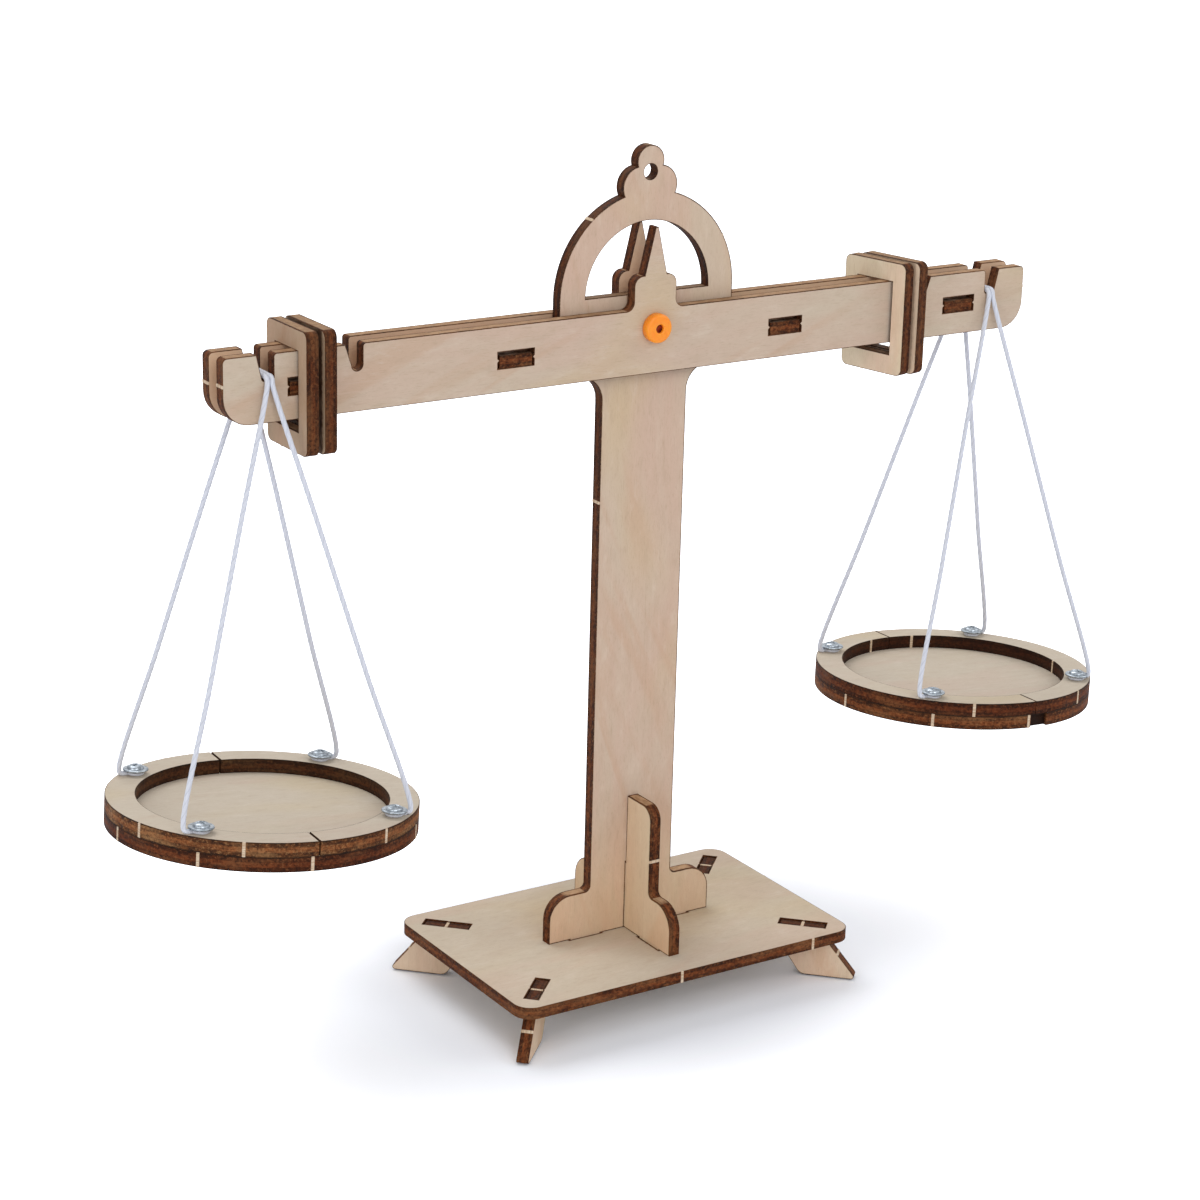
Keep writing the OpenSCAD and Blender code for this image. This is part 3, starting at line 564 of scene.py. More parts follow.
def plated_steel(name, bright, dull, roughness):
    """Bright plated steel with fine turning marks and duller, rougher patches."""
    material, wires, shader = new_material(name, Metallic=1.0)
    place = wires.place()
    patch = wires.noise(place, 900, 3.0)
    wires.join(wires.toned(bright, (patch, 0.4, 0.7, 1.0, dull)), shader.inputs["Base Color"])
    wires.join(wires.spread(patch, 0.35, 0.75, roughness * 0.8, roughness * 1.7),
               shader.inputs["Roughness"])
    bumped(wires, shader, wires.noise(place, 4200), 0.02, 0.5)
    return material


def white_string():
    """White string with a cool tinge; its fibres follow the piece's own along and round attributes.
    The hollows between its strands are painted shade and their crests painted light.
    """
    material, wires, shader = new_material("string_cotton", Roughness=0.72, Sheen_Weight=0.25)
    along = wires.read("along")
    lay = wires.sum_of("ADD", wires.times(along, 4200.0), wires.read("around"))
    place = wires.put("ShaderNodeCombineXYZ", {"X": wires.times(along, 900.0), "Y": lay})
    fibre = wires.noise(place.outputs["Vector"], 3.0, 3.0, 0.6)
    tone = wires.toned(STRING_HOLLOW_SHADE, (wires.read("relief"), 0.0, 0.7, 1.0, STRING_CREST_LIGHT),
                       (fibre, 0.5, 0.8, 0.35, STRING_FIBRE))
    wires.join(tone, shader.inputs["Base Color"])
    bumped(wires, shader, fibre, 0.03, 0.6)
    return material


# Outlines
def arc(center_x, center_y, radius, start, end, steps=24):
    """Points on a circle from one angle to another, in degrees."""
    angle = np.radians(np.linspace(start, end, steps + 1))
    return np.stack([center_x + radius * np.cos(angle), center_y + radius * np.sin(angle)], axis=1)


def on_circle(radius, degrees):
    """Point on a circle about the middle."""
    return radius * math.cos(math.radians(degrees)), radius * math.sin(math.radians(degrees))


def rounded(corners, steps=8):
    """Open path through corners (x, y, r). Each r is the radius of the arc that touches both sides of
    its corner; the first and the last corner stay as they are."""
    points = np.array([corner[:2] for corner in corners], float)
    pieces = [points[:1]]
    for before, here, after, radius in zip(points, points[1:], points[2:], [c[2] for c in corners[1:]]):
        if radius == 0:
            pieces.append(here[None])
            continue
        one = (before - here) / np.linalg.norm(before - here)
        two = (after - here) / np.linalg.norm(after - here)
        half = math.acos(float(np.clip(one @ two, -1, 1))) / 2
        middle = here + (one + two) / np.linalg.norm(one + two) * radius / math.sin(half)
        first = here + one * radius / math.tan(half) - middle
        second = here + two * radius / math.tan(half) - middle
        start = math.atan2(first[1], first[0])
        sweep = (math.atan2(second[1], second[0]) - start + math.pi) % (2 * math.pi) - math.pi
        turn = (math.degrees(start), math.degrees(start + sweep))
        pieces.append(arc(middle[0], middle[1], radius, *turn, steps))
    return np.concatenate(pieces + [points[-1:]])


def mirrored(path):
    """Closed outline from its right half, which starts and ends on the middle line."""
    left = path[::-1] * (-1, 1)
    return tidy(np.concatenate([path, left]))


def tidy(loop):
    """Loop without repeated neighbours, its end against its start too."""
    step = np.linalg.norm(loop - np.roll(loop, 1, axis=0), axis=1)
    return loop[step > 1e-4]


def box_loop(x0, x1, y0, y1, radius=0.0):
    """Rectangle, with round corners if a radius is given."""
    middle = (x0 + x1) / 2
    corners = [(middle, y0, 0), (x1, y0, radius), (x1, y1, radius), (x0, y1, radius), (x0, y0, radius),
               (middle, y0, 0)]
    return tidy(rounded(corners))


def circles_meet(first, second):
    """Right meeting point of two circles (x, y, r), from the line that both of them share."""
    a = np.array(first[:2], float)
    b = np.array(second[:2], float)
    apart = np.linalg.norm(b - a)
    along = (apart ** 2 + first[2] ** 2 - second[2] ** 2) / (2 * apart)
    off = math.sqrt(first[2] ** 2 - along ** 2)
    line = (b - a) / apart
    ends = [a + line * along + off * np.array([side * line[1], -side * line[0]]) for side in (1, -1)]
    return max(ends, key=lambda p: p[0])


def bearing(center, point):
    """Angle in degrees of a point as seen from a centre."""
    return math.degrees(math.atan2(point[1] - center[1], point[0] - center[0]))


TAB_STEPS = [(TAB_CENTER - TAB_HALF, BASE_TOP, 0), (TAB_CENTER - TAB_HALF, FOOT_HEIGHT, 0),
             (TAB_CENTER + TAB_HALF, FOOT_HEIGHT, 0), (TAB_CENTER + TAB_HALF, BASE_TOP, 0)]


def column_loops():
    """Column: foot, shaft, head, arch and its three lobes, with the window, the eye and the bore."""
    arch = (0, SILL_Z, ARCH_R)
    side = (SIDE_LOBE_X, SIDE_LOBE_Z, SIDE_LOBE_R)
    top = (0, TOP_LOBE_Z, TOP_LOBE_R)
    low = circles_meet(arch, side)
    high = circles_meet(side, top)
    foot = rounded([(0, LAP_Z + SLOT_GAP, 0), (LAP_HALF, LAP_Z + SLOT_GAP, 0), (LAP_HALF, BASE_TOP, 0),
                    *TAB_STEPS, (COLUMN_FOOT_HALF, BASE_TOP, 0),
                    (COLUMN_FOOT_HALF, COLUMN_FOOT_TOP, COLUMN_FOOT_R),
                    (SHAFT_HALF, COLUMN_FOOT_TOP, FOOT_FILLET), (SHAFT_HALF, HEAD_BOTTOM, HEAD_FILLET),
                    (ARCH_R, HEAD_BOTTOM, HEAD_CORNER), (ARCH_R, SILL_Z, 0)])
    crown = [arc(*arch, 0, bearing(arch, low), 64), arc(*side, bearing(side, low), bearing(side, high), 28),
             arc(*top, bearing(top, high), 90, 20)]
    holes = [arc(0, SILL_Z, WINDOW_R, 0, 180, 96), arc(0, HANG_HOLE_Z, HANG_HOLE_R, 0, 360, 40)[:-1],
             arc(0, PIVOT_Z, COLUMN_BORE_R, 0, 360, 32)[:-1]]
    return mirrored(np.concatenate([foot] + crown)), holes


def fin_loops():
    """Brace fin: wide foot with two tabs, upright part and the half lap from its top."""
    path = rounded([(0, BASE_TOP, 0), *TAB_STEPS, (FIN_FOOT_HALF, BASE_TOP, 0),
                    (FIN_FOOT_HALF, FIN_FOOT_TOP, FIN_FOOT_R),
                    (FIN_HALF, FIN_FOOT_TOP, FOOT_FILLET), (FIN_HALF, FIN_TOP, FIN_TOP_R),
                    (LAP_HALF, FIN_TOP, 0), (LAP_HALF, LAP_Z - SLOT_GAP, 0), (0, LAP_Z - SLOT_GAP, 0)])
    return mirrored(path), []


def foot_loops():
    """Foot: tab on top, then a plate that leans outward, with a round heel and a small round tip."""
    path = rounded([(0, FOOT_TAB_TOP, 0), (-FOOT_TAB_HALF, FOOT_TAB_TOP, 0),
                    (-FOOT_TAB_HALF, FOOT_HEIGHT, 0), (-FOOT_SHOULDER_IN, FOOT_HEIGHT, 0),
                    (0, 0, FOOT_HEEL_R), (FOOT_LENGTH, 0, FOOT_TIP_R),
                    (FOOT_SHOULDER_OUT, FOOT_HEIGHT, 0), (FOOT_TAB_HALF, FOOT_HEIGHT, 0),
                    (FOOT_TAB_HALF, FOOT_TAB_TOP, 0), (0, FOOT_TAB_TOP, 0)])
    return tidy(path), []


def slot_loop(center, half_length, half_width, turn, nub):
    """Slot turned about its middle, with a small grip nub on each long side if nub is over 0."""
    right = [(0, -half_width + nub, 0), (NUB_HALF, -half_width, 0), (half_length, -half_width, 0),
             (half_length, half_width, 0), (NUB_HALF, half_width, 0), (0, half_width - nub, 0)]
    loop = mirrored(rounded(right))
    angle = math.radians(turn)
    spin = np.array([[math.cos(angle), math.sin(angle)], [-math.sin(angle), math.cos(angle)]])
    return loop @ spin + center


def base_loops():
    """Base plate with four turned foot slots and four straight tab slots."""
    outer = box_loop(-BASE_LENGTH / 2, BASE_LENGTH / 2, -BASE_WIDTH / 2, BASE_WIDTH / 2, BASE_CORNER)
    holes = [slot_loop((x * SLOT_X, y * SLOT_Y), SLOT_LENGTH / 2, SLOT_HALF, 45 * x * y, NUB)
             for x in (-1, 1) for y in (-1, 1)]
    holes += [slot_loop(on_circle(TAB_CENTER, turn), TAB_HALF + SLOT_GAP, LAP_HALF, turn, 0)
              for turn in (0, 90, 180, 270)]
    return outer, holes


def beam_loops():
    """Beam plate: round lower ends, two notches a side, shoulder and spire of the pointer, four windows."""
    notch_in = HANG_X - NOTCH_HALF
    notch_out = HANG_X + NOTCH_HALF
    spare_in = SPARE_X - SPARE_HALF
    spare_out = SPARE_X + SPARE_HALF
    spare_mid = SPARE_FLOOR + SPARE_HALF
    outer_part = rounded([(0, BEAM_LOW, 0), (BEAM_HALF, BEAM_LOW, BEAM_LOW_R),
                          (BEAM_HALF, BEAM_TOP, BEAM_TOP_R),
                          (notch_out + NOTCH_FLARE, BEAM_TOP, 0), (notch_out, NOTCH_FLOOR, NOTCH_HALF / 2),
                          (notch_in, NOTCH_FLOOR, NOTCH_HALF / 2), (notch_in, BEAM_TOP, RIM_R),
                          (spare_out + SPARE_FLARE, BEAM_TOP, 0), (spare_out, spare_mid, 0)])
    inner_part = rounded([(spare_in, spare_mid, 0), (spare_in, BEAM_TOP, RIM_R),
                          (SHOULDER_HALF, BEAM_TOP, SHOULDER_FLARE),
                          (SHOULDER_HALF, SHOULDER_TOP, SHOULDER_R),
                          (SPIRE_HALF, SHOULDER_TOP, 0), (SPIRE_TIP_HALF, SPIRE_TIP, 0), (0, SPIRE_TIP, 0)])
    half = np.concatenate([outer_part, arc(SPARE_X, spare_mid, SPARE_HALF, 0, -180, 16)[1:-1], inner_part])
    middle = WINDOW_SILL + WINDOW_HEIGHT / 2
    lintel = WINDOW_SILL + WINDOW_HEIGHT
    window = mirrored(rounded([(0, WINDOW_SILL, 0), (WINDOW_HALF, WINDOW_SILL, 0),
                               (WINDOW_HALF, middle - WINDOW_NUB, 0), (WINDOW_HALF - WINDOW_NUB, middle, 0),
                               (WINDOW_HALF, middle + WINDOW_NUB, 0), (WINDOW_HALF, lintel, 0),
                               (0, lintel, 0)]))
    holes = [window + (x, 0) for x in WINDOW_XS] + [arc(0, PIVOT_Z, PLATE_BORE_R, 0, 360, 32)[:-1]]
    return mirrored(half), holes


def spacer_loops():
    """Spacer: wide between the plates, with one tab through each plate."""
    wide = PLATE_OUT_Y - PLY
    return mirrored(rounded([(0, -PLATE_OUT_Y, 0), (SPACER_TAB_HALF, -PLATE_OUT_Y, 0),
                             (SPACER_TAB_HALF, -wide, 0), (SPACER_BODY_HALF, -wide, 0),
                             (SPACER_BODY_HALF, wide, 0), (SPACER_TAB_HALF, wide, 0),
                             (SPACER_TAB_HALF, PLATE_OUT_Y, 0), (0, PLATE_OUT_Y, 0)])), []


def rider_loops():
    """Rider frame: rounded plate with the window that goes round the beam."""
    outer = box_loop(-RIDER_HALF, RIDER_HALF, RIDER_LOW, RIDER_TOP, RIDER_CORNER)
    return outer, [box_loop(-RIDER_WINDOW_HALF, RIDER_WINDOW_HALF, RIDER_WINDOW_LOW, BEAM_TOP)]


def disc_loops(nick):
    """Pan disc; nick is 1 for the one with a nick in its edge."""
    if not nick:
        return arc(0, 0, PAN_R, 0, 360, 240)[:-1], []
    half = math.degrees(math.asin(NICK_W / 2 / PAN_R))
    rim = arc(0, 0, PAN_R, NICK_ANGLE + half, NICK_ANGLE + 360 - half, 240)
    way = np.array(on_circle(1, NICK_ANGLE))
    side = np.array([-way[1], way[0]])
    floor = np.array([way * (PAN_R - NICK_DEPTH) + side * s * NICK_W / 2 for s in (-1, 1)])
    return np.concatenate([rim, floor]), []


def ring_loops(toward, split):
    """Half of a pan's ring; toward is 1 for the half on the +X side, -1 for the other."""
    gap = split / 2
    outer_angle = math.degrees(math.asin(gap / PAN_R))
    inner_angle = math.degrees(math.asin(gap / RING_IN_R))
    loop = np.concatenate([arc(0, 0, PAN_R, -90 + outer_angle, 90 - outer_angle, 128),
                           arc(0, 0, RING_IN_R, 90 - inner_angle, -90 + inner_angle, 112)])
    holes = [arc(SCREW_X, s * SCREW_X, SHANK_R + SLOT_GAP, 0, 360, 24)[:-1] for s in (-1, 1)]
    return loop * (toward, toward), [hole * (toward, toward) for hole in holes]


# Plywood pieces. A cut edge is rounded off by EDGE_BREAK and has a brown line of a SCORCH's width beside
# it. A joint is the stub of a bridge that held the piece in its sheet. Extra points stand CORNER_REACH
# from a corner, and LOOP_END keeps the last point of a loop off its first.
EDGE_BREAK = 0.07
SCORCH = 0.25
# The two widths below widen the brown line on the column, the fin and the base's tab slots: partly scorch
# and partly painted shade where these parts meet
STAND_SCORCH_AND_CONTACT_SHADE = 0.4
SLOT_SCORCH_AND_CONTACT_SHADE = 0.9
THICKNESS_ROWS = 6
JOINT_HALF = 0.33
JOINT_NIB = 0.12
JOINT_REACH = 1.3
CORNER_REACH = 0.5
LOOP_END = 0.02


def unit(vectors):
    """Vectors, one to a row, brought to length 1."""
    return vectors / np.linalg.norm(vectors, axis=1, keepdims=True)


def inset(loop, by):
    """Loop moved into its material, which lies on its left: each point goes along the mean of its two
    side normals, lengthened so that both sides move by the same amount."""
    ahead = unit(np.roll(loop, -1, axis=0) - loop)
    behind = np.roll(ahead, 1, axis=0)
    normal = np.stack([-(ahead[:, 1] + behind[:, 1]), ahead[:, 0] + behind[:, 0]], axis=1)
    stretch = np.maximum(1 + np.sum(ahead * behind, axis=1), 0.25)
    return loop + normal / stretch[:, None] * by


def edge_path(loop, marks):
    """Loop with its running length, with extra points near the ends of its long sides, and with a
    small nib at each mark (x, y), raised outward, where the sheet held on to its neighbour before it
    was broken off."""
    closed = np.concatenate([loop, loop[:1]])
    step = np.diff(closed, axis=0)
    side = np.linalg.norm(step, axis=1)
    run = np.r_[0, np.cumsum(side)]
    long = side > 4 * CORNER_REACH
    stops = list(run[:-1]) + list(run[:-1][long] + CORNER_REACH) + list(run[1:][long] - CORNER_REACH)
    middles = []
    for mark in marks:
        share = np.clip(np.sum((np.asarray(mark) - closed[:-1]) * step, axis=1) / side ** 2, 0, 1)
        near = closed[:-1] + step * share[:, None]
        best = int(np.argmin(np.linalg.norm(near - mark, axis=1)))
        middle = run[best] + share[best] * side[best]
        middles.append(middle)
        stops += [middle + JOINT_HALF * way for way in (-JOINT_REACH, -1, -0.4, 0.3, 1, JOINT_REACH)]
    end = run[-1] - LOOP_END
    stops = np.unique(np.round(np.clip(stops + [end], 0, end), 4))
    path = np.stack([np.interp(stops, run, closed[:, k]) for k in (0, 1)], axis=1)
    joint = np.zeros(len(stops))
    for middle in middles:
        near_mark = (JOINT_REACH * JOINT_HALF - np.abs(stops - middle)) / (0.3 * JOINT_HALF)
        joint = np.maximum(joint, np.clip(near_mark, 0, 1))
    return inset(path, -JOINT_NIB * joint[:, None]) if len(marks) else path, stops, joint


def cut_sheet(name, outline, axes, origin, material, span=(-HALF_PLY, HALF_PLY), marks=(), stain=(0, 0),
              bright_top=True, charred=None, border=None):
    """Piece of sheet. Every outline is carried through the thickness as a grid: a scorched border, a
    broken edge, the wall in even rows, and the same again on the other face. Both faces are then
    filled between the innermost outlines. A point is origin + u * axes[0] + v * axes[1] + t * axes[2],
    and t goes over the span. The pair for the faces gives how much painted shade the low and the high
    face get, for the shade between two plates; bright_top gives level upper edges a painted tan highlight,
    for sheen and light from above; charred gives from outline points how far the edge is burnt; and border
    gives each outline's scorch width, widened on the column, the fin and the base's tab slots to paint the
    shade where they meet as well."""
    outer, holes = outline
    low, high = span
    half = (high - low) / 2
    wall_t = np.linspace(low + EDGE_BREAK, high - EDGE_BREAK, THICKNESS_ROWS)
    rows_t = np.r_[low, low, wall_t, high, high]
    rows_across = (rows_t - (low + high) / 2) / half
    rows_wall = np.r_[0, np.ones(THICKNESS_ROWS + 2), 0]
    rows_gap_shade = np.interp(rows_t, span, stain)
    rows = len(rows_t)
    titles = ("along", "across", "wall", "joint", "scorch", "upward", "stain", "burn")
    layers = {title: [] for title in titles}
    points, faces, caps = [], [], ([], [])
    base = 0
    for number, loop in enumerate([outer] + list(holes)):
        area = np.sum(loop[:, 0] * np.roll(loop[:, 1], -1) - loop[:, 1] * np.roll(loop[:, 0], -1))
        if (area > 0) == (number > 0):
            loop = loop[::-1]
        path, run, mark = edge_path(loop, marks[number] if number < len(marks) else [])
        count = len(path)
        width = border[number] if border else SCORCH
        rows_in = np.r_[width, EDGE_BREAK, np.zeros(THICKNESS_ROWS), EDGE_BREAK, width]
        flat = np.concatenate([np.column_stack([inset(path, i), np.full(count, t)])
                               for i, t in zip(rows_in, rows_t)])
        points.append(flat)
        faces.append(grid_faces(rows, count, True) + base)
        ahead = unit(np.roll(path, -1, axis=0) - path)
        # How level each edge's top is, for the painted tan highlight
        level = (ahead[:, 1] * axes[0][2] - ahead[:, 0] * axes[1][2]) * bright_top
        round_edge = {"along": run * MM, "joint": mark, "upward": np.minimum(level, np.roll(level, 1)),
                      "burn": charred(path) if charred else np.zeros(count)}
        for title, values in round_edge.items():
            layers[title].append(np.tile(values, rows))
        through = {"across": rows_across, "wall": rows_wall, "scorch": rows_wall, "stain": rows_gap_shade}
        for title, values in through.items():
            layers[title].append(np.repeat(values, count))
        caps[0].append((flat[:count], base))
        caps[1].append((flat[-count:], base + count * (rows - 1)))
        base += len(flat)
    flat = np.concatenate(points)
    for cap, down in zip(caps, (True, False)):
        rings = [[Vector((p[0], p[1], 0)) for p in ring] for ring, _ in cap]
        index = np.concatenate([start + np.arange(len(ring)) for ring, start in cap])
        filled = np.array(tessellate_polygon(rings))
        corners = flat[index][filled][:, :, :2]
        one, two = corners[:, 1] - corners[:, 0], corners[:, 2] - corners[:, 0]
        turn = one[:, 0] * two[:, 1] - one[:, 1] * two[:, 0]
        faces.append(index[filled[:, ::-1] if (turn.sum() > 0) == down else filled])
    placed = np.asarray(origin, float) + flat @ np.asarray(axes, float)
    attributes = [(title, np.concatenate(values)) for title, values in layers.items()]
    piece = new_piece(name, placed, [f for part in faces for f in part.tolist()], material,
                      attributes + [("sheet", flat * MM)])
    crisp(piece, 30)
    return piece


def crisp(piece, angle):
    """Smooth shading that stops at bends sharper than the angle, in degrees."""
    piece.data.shade_smooth()
    piece.data.set_sharp_from_angle(angle=math.radians(angle))


# The way the pans hang
def pan_turn(side):
    """Rotation of a pan about X, Y and Z, the last one first."""
    a, b, c = (Matrix.Rotation(math.radians(angle), 3, axis) for angle, axis in zip(PAN_LEAN[side], "XYZ"))
    return np.array(a @ b @ c)


def hung(side, points):
    """Points of a level pan, turned about the middle of its disc's top and let down by its drop."""
    middle = np.array([side * HANG_X, 0, DISC_TOP])
    return middle - (0, 0, PAN_DROP[side]) + (np.asarray(points, float) - middle) @ pan_turn(side).T


def hung_sheet(side):
    """Directions and origin for a flat sheet of a pan whose outline is centred on the pan."""
    turn = pan_turn(side)
    origin = np.array([side * HANG_X, 0, DISC_TOP - PAN_DROP[side]]) - turn @ (0, 0, DISC_TOP)
    return turn.T, origin


def pan_name(side, rest):
    """Name of a piece of the left (-1) or the right (1) pan."""
    return f"{'left' if side < 0 else 'right'}_pan_{rest}"


# Round pieces. A shank ends SHANK_SHORT above the disc's underside, and the sides and the ends of the
# cross recess are as soft as RECESS_SIDE and RECESS_END.
TURNED_SIDES = 96
CAP_HEEL = 0.25
CAP_MOUTH = 0.35
SHANK_SHORT = 0.6
RECESS_SIDE = 0.12
RECESS_END = 0.3
RECESS_OVER = 0.1


def turned_rows(radii, heights):
    """Rows of a body of revolution about Z: ring i has radius radii[i] and height heights[i]."""
    angle = np.linspace(0, 2 * math.pi, TURNED_SIDES, endpoint=False)
    ring = np.stack([np.cos(angle), np.sin(angle)], axis=1)
    return np.concatenate([np.column_stack([ring * r, np.full(TURNED_SIDES, z)])
                           for r, z in zip(radii, heights)])


def capped_faces(rows, segments, first_pole, last_pole):
    """Grid quads, with a fan from the first row to one pole and from the last row to the other."""
    k = np.arange(segments)
    beside = (k + 1) % segments
    last = (rows - 1) * segments
    first_fan = np.column_stack([np.full(segments, first_pole), beside, k])
    last_fan = np.column_stack([np.full(segments, last_pole), last + k, last + beside])
    return grid_faces(rows, segments, True).tolist() + first_fan.tolist() + last_fan.tolist()


def screw_head(turn):
    """One pan screw about Z = 0 at the flange's underside. The profile runs from the dome's middle over
    the flange and down the shank; the cross recess lowers the dome by its depth inside two crossed
    bars, with soft sides."""
    dome_r = DOME_R * np.linspace(0.04, 1, 34)
    dome_z = FLANGE_T + DOME_H * np.sqrt(np.maximum(1 - (dome_r / DOME_R) ** 2, 0)) ** 0.9
    rim = np.radians(np.linspace(90, -90, 9))
    rim_r = FLANGE_R - FLANGE_T / 2 + FLANGE_T / 2 * np.cos(rim)
    rim_z = FLANGE_T / 2 + FLANGE_T / 2 * np.sin(rim)
    shank = FLANGE_Z - DISC_LOW - SHANK_SHORT
    radii = np.r_[dome_r, DOME_R + 0.12, rim_r, SHANK_R + 0.1, SHANK_R, SHANK_R, SHANK_R - 0.3]
    heights = np.r_[dome_z, FLANGE_T, rim_z, 0, -0.1, 0.3 - shank, -shank]
    points = turned_rows(radii[::-1], heights[::-1])
    angle = math.radians(turn)
    x = points[:, 0] * math.cos(angle) + points[:, 1] * math.sin(angle)
    y = points[:, 1] * math.cos(angle) - points[:, 0] * math.sin(angle)

    def bar(across, along):
        sides = np.clip((RECESS_W / 2 + RECESS_SIDE / 2 - np.abs(across)) / RECESS_SIDE, 0, 1)
        ends = np.clip((RECESS_L / 2 + RECESS_OVER - np.abs(along)) / RECESS_END, 0, 1)
        return sides * ends

    on_dome = points[:, 2] > FLANGE_T
    points[:, 2] -= RECESS_DEPTH * np.maximum(bar(x, y), bar(y, x)) * on_dome
    poles = [[0, 0, -shank], [0, 0, FLANGE_T + DOME_H - RECESS_DEPTH]]
    faces = capped_faces(len(radii), TURNED_SIDES, len(points), len(points) + 1)
    return np.concatenate([points, poles]), faces


def pan_screws(side, turns, material):
    """Four screws of a pan in one piece, each with its own turn of the cross."""
    places = [(side * HANG_X + x * SCREW_X, y * SCREW_X) for x in (-1, 1) for y in (-1, 1)]
    points, faces = [], []
    for number, ((x, y), turn) in enumerate(zip(places, turns)):
        head, head_faces = screw_head(turn)
        points.append(head + (x, y, FLANGE_Z))
        faces += [[number * len(head) + k for k in f] for f in head_faces]
    piece = new_piece(pan_name(side, "screw_heads"), hung(side, np.concatenate(points)), faces, material)
    crisp(piece, 40)
    return piece


def cap_piece(name, side, material):
    """Rubber cap on one end of the pin: a short ring turned about the pin, with round outer edges.
    side is -1 for the front."""
    bend = np.radians(np.linspace(0, 90, 9))
    outer_r = CAP_R - CAP_ROUND + CAP_ROUND * np.cos(bend)
    outer_t = CAP_T - CAP_ROUND + CAP_ROUND * np.sin(bend)
    mouth = np.radians(np.linspace(90, 180, 7))
    mouth_r = PLATE_BORE_R + CAP_MOUTH + CAP_MOUTH * np.cos(mouth)
    mouth_t = CAP_T - CAP_MOUTH + CAP_MOUTH * np.sin(mouth)
    radii = np.r_[PLATE_BORE_R, CAP_R - CAP_HEEL, CAP_R, outer_r, mouth_r, PLATE_BORE_R]
    depth = np.r_[0, 0, CAP_HEEL, outer_t, mouth_t, 0.02]
    points = turned_rows(radii, depth)
    placed = np.column_stack([points[:, 0], side * (PLATE_OUT_Y + points[:, 2]), PIVOT_Z + points[:, 1]])
    faces = grid_faces(len(radii), TURNED_SIDES, True, True)
    piece = new_piece(name, placed, faces.tolist(), material)
    outward(piece)
    crisp(piece, 50)
    return piece


def outward(piece):
    """Faces of a closed piece turned to point outward."""
    work = bmesh.new()
    work.from_mesh(piece.data)
    bmesh.ops.recalc_face_normals(work, faces=work.faces)
    work.to_mesh(piece.data)
    work.free()


# Strings: laid strands, sides of the tube and steps along a string and round a loop
STRAND_PITCH = 2.6
STRAND_DEPTH = 0.08
STRING_SIDES = 18
STRING_STEP = 0.4
LOOP_STEPS = 48


def smooth_route(points, step):
    """Curve through the points, each stretch a cubic whose slopes at its ends follow the points before
    and after it, then sampled at even steps of its length."""
    points = np.asarray(points, float)
    gap = np.linalg.norm(np.diff(points, axis=0), axis=1)
    knots = np.r_[0, np.cumsum(np.sqrt(gap))]
    slope = np.gradient(points, knots, axis=0)
    dense = []
    for k in range(len(points) - 1):
        t = np.linspace(0, 1, max(int(gap[k] / 0.1), 6), endpoint=False)[:, None]
        span = knots[k + 1] - knots[k]
        dense.append((2 * t ** 3 - 3 * t ** 2 + 1) * points[k] + (t ** 3 - 2 * t ** 2 + t) * span * slope[k]
                     + (3 * t ** 2 - 2 * t ** 3) * points[k + 1] + (t ** 3 - t ** 2) * span * slope[k + 1])
    dense = np.concatenate(dense + [points[-1:]])
    run = np.r_[0, np.cumsum(np.linalg.norm(np.diff(dense, axis=0), axis=1))]
    even = np.linspace(0, run[-1], int(run[-1] / step) + 1)
    return np.stack([np.interp(even, run, dense[:, k]) for k in range(3)], axis=1), even


def string_tube(path, run, outer_r, closed=False):
    """Laid string of three strands round a path. At angle a and length s its radius is outer_r times
    1 - depth * (1 - |sin(1.5 * (a - s * turn))| ** 0.7), so that three rounded strands wind round each
    other. Returns the points and, for each of them, the relief, the length and the angle."""
    ahead = np.roll(path, -1, axis=0) - np.roll(path, 1, axis=0) if closed else np.gradient(path, axis=0)
    ahead = unit(ahead)
    helper = np.array([0.0, 0.0, 1.0]) if closed else np.array([1.0, 0.0, 0.0])
    first = unit(np.cross(ahead, helper))
    second = np.cross(ahead, first)
    angle = np.linspace(0, 2 * math.pi, STRING_SIDES, endpoint=False)
    turns = 2 * math.pi / STRAND_PITCH / 3
    phase = 1.5 * (angle[None, :] - run[:, None] * turns)
    relief = np.abs(np.sin(phase)) ** 0.7
    radius = outer_r * (1 - STRAND_DEPTH * (1 - relief))
    ring = (first[:, None, :] * np.cos(angle)[None, :, None]
            + second[:, None, :] * np.sin(angle)[None, :, None])
    points = path[:, None, :] + ring * radius[:, :, None]
    along = np.repeat(run * MM, STRING_SIDES)
    return points.reshape(-1, 3), relief.ravel(), along, np.tile(angle, len(path))


def string_half(side, out, way):
    """Points of half a string. The part at the screw hangs with the pan; each point above it moves with
    the string's foot by the share of the height that lies between it and the notch."""
    level = np.array([(side * (HANG_X + out * p[0]), way * p[1], p[2]) for p in STRING_POINTS], float)
    foot = level[STRING_FOOT]
    share = (level[-1, 2] - level[:, 2]) / (level[-1, 2] - foot[2])
    pulled = level + share[:, None] * (hung(side, foot) - foot)
    return np.where(share[:, None] < 1, pulled, hung(side, level))


